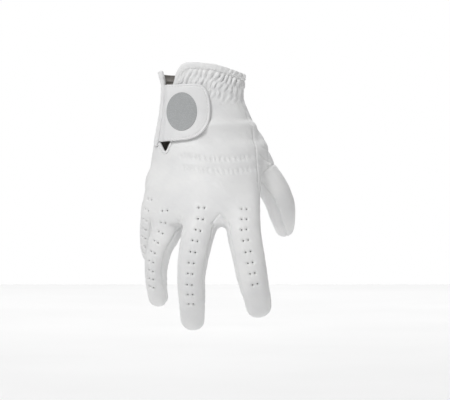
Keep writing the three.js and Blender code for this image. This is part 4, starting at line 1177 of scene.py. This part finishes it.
tab_low = 1.5 * mm             # under side of the tab, above the back of the hand
tab_thick = 1.6 * mm
tab_dip = 2.7 * mm             # how far it goes down under the roll
stitch_inset = 2.1 * mm
tab_stitch_pitch = 2.6 * mm
tab_centre = np.array((-13.5, -33.0)) * mm
tab_corners = np.array([
    (-29.9, -12.0), (-22, -11.2), (-12, -10.7), (-4.5, -10.6), (0.2, -11.6), (3.8, -15.2), (6.0, -21.5),
    (7.0, -28.5), (7.0, -34.5), (5.6, -41.5), (2.2, -47.3), (-3.2, -51.9), (-10, -54.3), (-18, -55.1),
    (-26, -55.5), (-33.6, -54.8), (-33.0, -45), (-31.4, -33.5), (-30.3, -22)]) * mm
tab_outline = closed_curve(tab_corners, 220)
tab_insets = np.array([0, 0.08, 0.2, 0.4, 0.65, 1.0, 1.3, 1.6, 1.85, 2.1, 2.35, 2.6, 3.0, 3.6, 4.3, 5.0,
                       7, 9, 11.5, 14, 17, 20, 23.5, 27]) * mm


def from_roll(flat):
    """Distance from the line where the tab dips under the roll."""
    down, across = (-56, -34, -11), (-30.9, -29.1, -27.8)        # mm
    return flat[:, 0] - smooth_curve(down, across, flat[:, 1] / mm) * mm


def uneven(flat):
    """Slight waves of the tab and of the patch on it."""
    return 0.10 * mm * np.sin(flat[:, 1] * 330 + 2 * np.sin(flat[:, 0] * 210))


def tab_height(inset, flat):
    clear = from_roll(flat)
    groove = 0.30 * mm * bell(inset - stitch_inset, 0.42 * mm) * (clear > 0.8 * mm)
    soft = 0.35 * mm * smooth_step(inset, 2.2 * mm, 7 * mm)
    dip = tab_dip * (1 - smooth_step(clear, -1.0 * mm, 0.8 * mm))
    waves = uneven(flat) * smooth_step(inset, 0, 4 * mm)
    return tab_thick * rounded_edge(inset, 1.2 * mm) - groove + soft + waves - dip


tab_finish = white_leather("tab_leather_finish", (0.80, 0.80, 0.80), (0.75, 0.75, 0.755), roughness=0.40,
                           creases=0.10 * mm)
tab = plate("tab_leather", tab_outline, tab_centre, tab_low, tab_height, tab_insets, tab_finish,
            under=lambda inset: 0.9 * mm * (1 - smooth_step(inset, 0.3 * mm, 2.5 * mm)))
fixed(tab, "closure_tab")

reach = np.linalg.norm(tab_outline - tab_centre, axis=1)[:, None]
tab_row = tab_centre + (tab_outline - tab_centre) * (1 - stitch_inset / reach)
tab_row = np.vstack([tab_row, tab_row[:1]])
on_tab = back_surface(tab_row[:, 0], tab_row[:, 1],
                      tab_low + tab_height(np.full(len(tab_row), stitch_inset), tab_row))
above_tab = on_tab - back_surface(tab_row[:, 0], tab_row[:, 1], np.zeros(len(tab_row)))
middle, ahead, out = stitch_places(on_tab, above_tab, tab_stitch_pitch)
keep = from_roll(middle[:, [0, 2]]) > 1.6 * mm
stitches("tab_stitches", [(middle[keep], ahead[keep], out[keep])], lift=0.12 * mm)

# Tab patch: a plain oval patch of thin grey rubbery print with a fine stipple and a raised edge, bonded to
# the outside of the tab.
patch_centre = np.array((-15.5, -32.5)) * mm
patch_half = np.array((12.0, 15.0)) * mm         # half its width and half its height
patch_thick = 0.50 * mm
turn = np.linspace(0, 2 * np.pi, 121)[:-1]
patch_outline = patch_centre + patch_half * np.stack([np.cos(turn), np.sin(turn)], 1)
patch_insets = np.array([0, 0.05, 0.12, 0.25, 0.5, 0.9, 1.2, 1.5, 2, 3, 4, 5, 7, 9, 11, 13, 15]) * mm


def patch_height(inset, flat):
    ring = 0.10 * mm * bell(inset - 1.2 * mm, 0.25 * mm)
    return patch_thick * rounded_edge(inset, 0.25 * mm) - ring + uneven(flat)


stipple = Finish("grey_stipple", (0.44, 0.45, 0.455), 0.62)
dots = stipple.cells(0.62 * mm)
stipple.set("Base Color", stipple.ramp(dots, [(0.15, (0.52, 0.53, 0.535)), (0.42, (0.36, 0.37, 0.375))]))
stipple.bump(dots, -0.08 * mm)
patch_low = tab_low + tab_thick + 0.30 * mm
patch = plate("tab_patch_print", patch_outline, patch_centre, patch_low, patch_height, patch_insets,
              stipple.material, under=lambda inset: 0.25 * mm + 0 * inset)
fixed(patch, "tab_patch")

# Closing pad: hook-and-loop fabric under the tab, sewn flat to the back so that the tab holds on it.
# It hardly shows.
pad_centre = np.array((-6.5, -30.5)) * mm
pad_corners = np.array([(-14, -16.5), (-4, -16.5), (1.5, -19), (2, -30), (1, -40), (-5, -44.5),
                        (-14, -45)]) * mm
pad_insets = np.array([0, 0.1, 0.3, 0.6, 1.2, 3, 5, 8, 12]) * mm
pad_low = 0.35 * mm
pad_thick = 1.0 * mm
loops = Finish("loop_fabric", (0.78, 0.78, 0.77), 0.95)
loops.set("Base Color", loops.ramp(loops.noise(1.2 * mm, 4),
                                   [(0.35, (0.66, 0.66, 0.65)), (0.65, (0.8, 0.8, 0.79))]))
loops.bump(loops.noise(0.5 * mm, 4), 0.25 * mm)
pad = plate("closing_pad", closed_curve(pad_corners, 90), pad_centre, pad_low,
            lambda inset, flat: pad_thick * rounded_edge(inset, 0.5 * mm), pad_insets, loops.material)
fixed(pad, "closure_pad")

# Roll: the edge of the slit on the little-finger side, where the same white leather is rolled over. The tab
# is sewn in under it.
roll_width = 4.4 * mm
roll_height = 2.3 * mm
roll_low = 0.9 * mm            # its middle line, above the back of the hand
roll_rows = np.array([  # across and down in mm, and share of roll_width
    (-32.9, 0.4, 1.16), (-31.2, -5.6, 1.00), (-30.2, -12.0, 0.86), (-30.5, -20.2, 0.86),
    (-31.6, -33.6, 0.98), (-33.3, -44.8, 1.10), (-34.9, -53.4, 1.10), (-36.0, -59.4, 0.72)])
stations = 110
t = np.linspace(0, len(roll_rows) - 1, stations)
roll_index = np.arange(len(roll_rows))
roll_x, roll_z, roll_wide = [smooth_curve(roll_index, roll_rows[:, k], t) for k in range(3)]
roll_line = back_surface(roll_x * mm, roll_z * mm, roll_low)
roll_out = unit(back_surface(roll_x * mm, roll_z * mm, roll_low + 1 * mm) - roll_line)
roll_along = unit(np.gradient(roll_line, axis=0))
roll_cross = np.cross(roll_along, roll_out)
sides = 28
turn = 2 * np.pi * np.arange(sides) / sides
ends = np.clip(np.minimum(t, t[-1] - t) / 0.25, 0, 1)
ends = np.sqrt(np.clip(1 - (1 - ends) ** 2, 0.02, 1))
points = []
for k in range(stations):
    lump = 1 + 0.035 * np.sin(t[k] * 9.0) + 0.02 * np.sin(t[k] * 23.0 + 1)
    fold = 1 - 0.16 * np.exp(-((((turn - 0.35 * np.pi) + np.pi) % (2 * np.pi) - np.pi) / 0.22) ** 2)
    half = roll_wide[k] * roll_width / 2 * lump * ends[k]
    ring = roll_line[k] + roll_cross[k] * (half * np.cos(turn) * fold)[:, None] \
        + roll_out[k] * (roll_height * ends[k] * lump * np.sin(turn) * fold)[:, None]
    points.append(ring)
faces = between_rings(stations, sides)
faces += [tuple(range(sides))[::-1], tuple((stations - 1) * sides + i for i in range(sides))]
roll = closed_mesh("slit_roll_leather", np.vstack(points), faces, leather_finish)
fixed(roll, "slit_roll")

# Setting: the glove hangs fingers down before a bright backdrop, over a pale paper floor. One soft lamp from
# above on the left gives the shadows, and weak ones fill in. The camera is level with the glove.
photo_scale = 0.78 * mm        # to a pixel of the photograph, at the glove
photo_width = 450              # pixels
view_distance = 1.5
camera_data = bpy.data.cameras.new("camera")
camera_data.sensor_width = 36
camera_data.lens = camera_data.sensor_width * view_distance / (photo_width * photo_scale)
camera = bpy.data.objects.new("camera", camera_data)
camera.location = (18.3 * mm, -20 * mm - view_distance, -101.4 * mm)
camera.rotation_euler = (math.radians(90), 0, 0)
bpy.context.scene.collection.objects.link(camera)
bpy.context.scene.camera = camera


def light(name, place, size, power, aim=(0.01, 0, -0.1)):
    data = bpy.data.lights.new(name, "AREA")
    data.size = size
    data.energy = power
    lamp = bpy.data.objects.new(name, data)
    lamp.location = place
    lamp.rotation_euler = (Vector(aim) - Vector(place)).to_track_quat("-Z", "Y").to_euler()
    bpy.context.scene.collection.objects.link(lamp)


# place and size in metres, and power in watts
light("key", (-0.55, -0.9, 0.95), 0.42, 11)
light("fill", (1.3, -0.9, 0.1), 1.2, 1.2)
light("top", (0.15, 0.35, 1.1), 0.8, 1.5)
light("floor light", (0, 2.4, 1.5), 3.6, 52, aim=(0, 2.4, 0))
world = bpy.data.worlds.new("studio")
world.use_nodes = True
sky = world.node_tree
side = sky.nodes.new("ShaderNodeTexCoord").outputs["Generated"]
parts = sky.nodes.new("ShaderNodeSeparateXYZ")
sky.links.new(side, parts.inputs[0])
brightness = sky.nodes.new("ShaderNodeMapRange")     # bright right behind, dimmer all round
for name, number in (("From Min", 0.90), ("From Max", 0.985), ("To Min", 0.36), ("To Max", 1.0)):
    brightness.inputs[name].default_value = number
sky.links.new(parts.outputs["Y"], brightness.inputs["Value"])
sky.nodes["Background"].inputs[0].default_value = (1, 1, 1, 1)
sky.links.new(brightness.outputs["Result"], sky.nodes["Background"].inputs[1])
bpy.context.scene.world = world
bpy.context.scene.view_settings.view_transform = "Standard"

floor_level, floor_reach = -0.3, 3
floor_corners = [(x * floor_reach, y * floor_reach, floor_level)
                 for x, y in ((-1, -1), (1, -1), (1, 1), (-1, 1))]
floor_mesh = bpy.data.meshes.new("floor")
floor_mesh.from_pydata(floor_corners, [], [(0, 1, 2, 3)])
floor = bpy.data.objects.new("floor", floor_mesh)
paper = Finish("white_paper", (0.9, 0.9, 0.9), 0.9)
paper.set("Base Color", paper.ramp(paper.noise(0.4), [(0.3, (0.88, 0.88, 0.88)), (0.7, (0.92, 0.92, 0.92))]))
floor_mesh.materials.append(paper.material)
bpy.context.scene.collection.objects.link(floor)
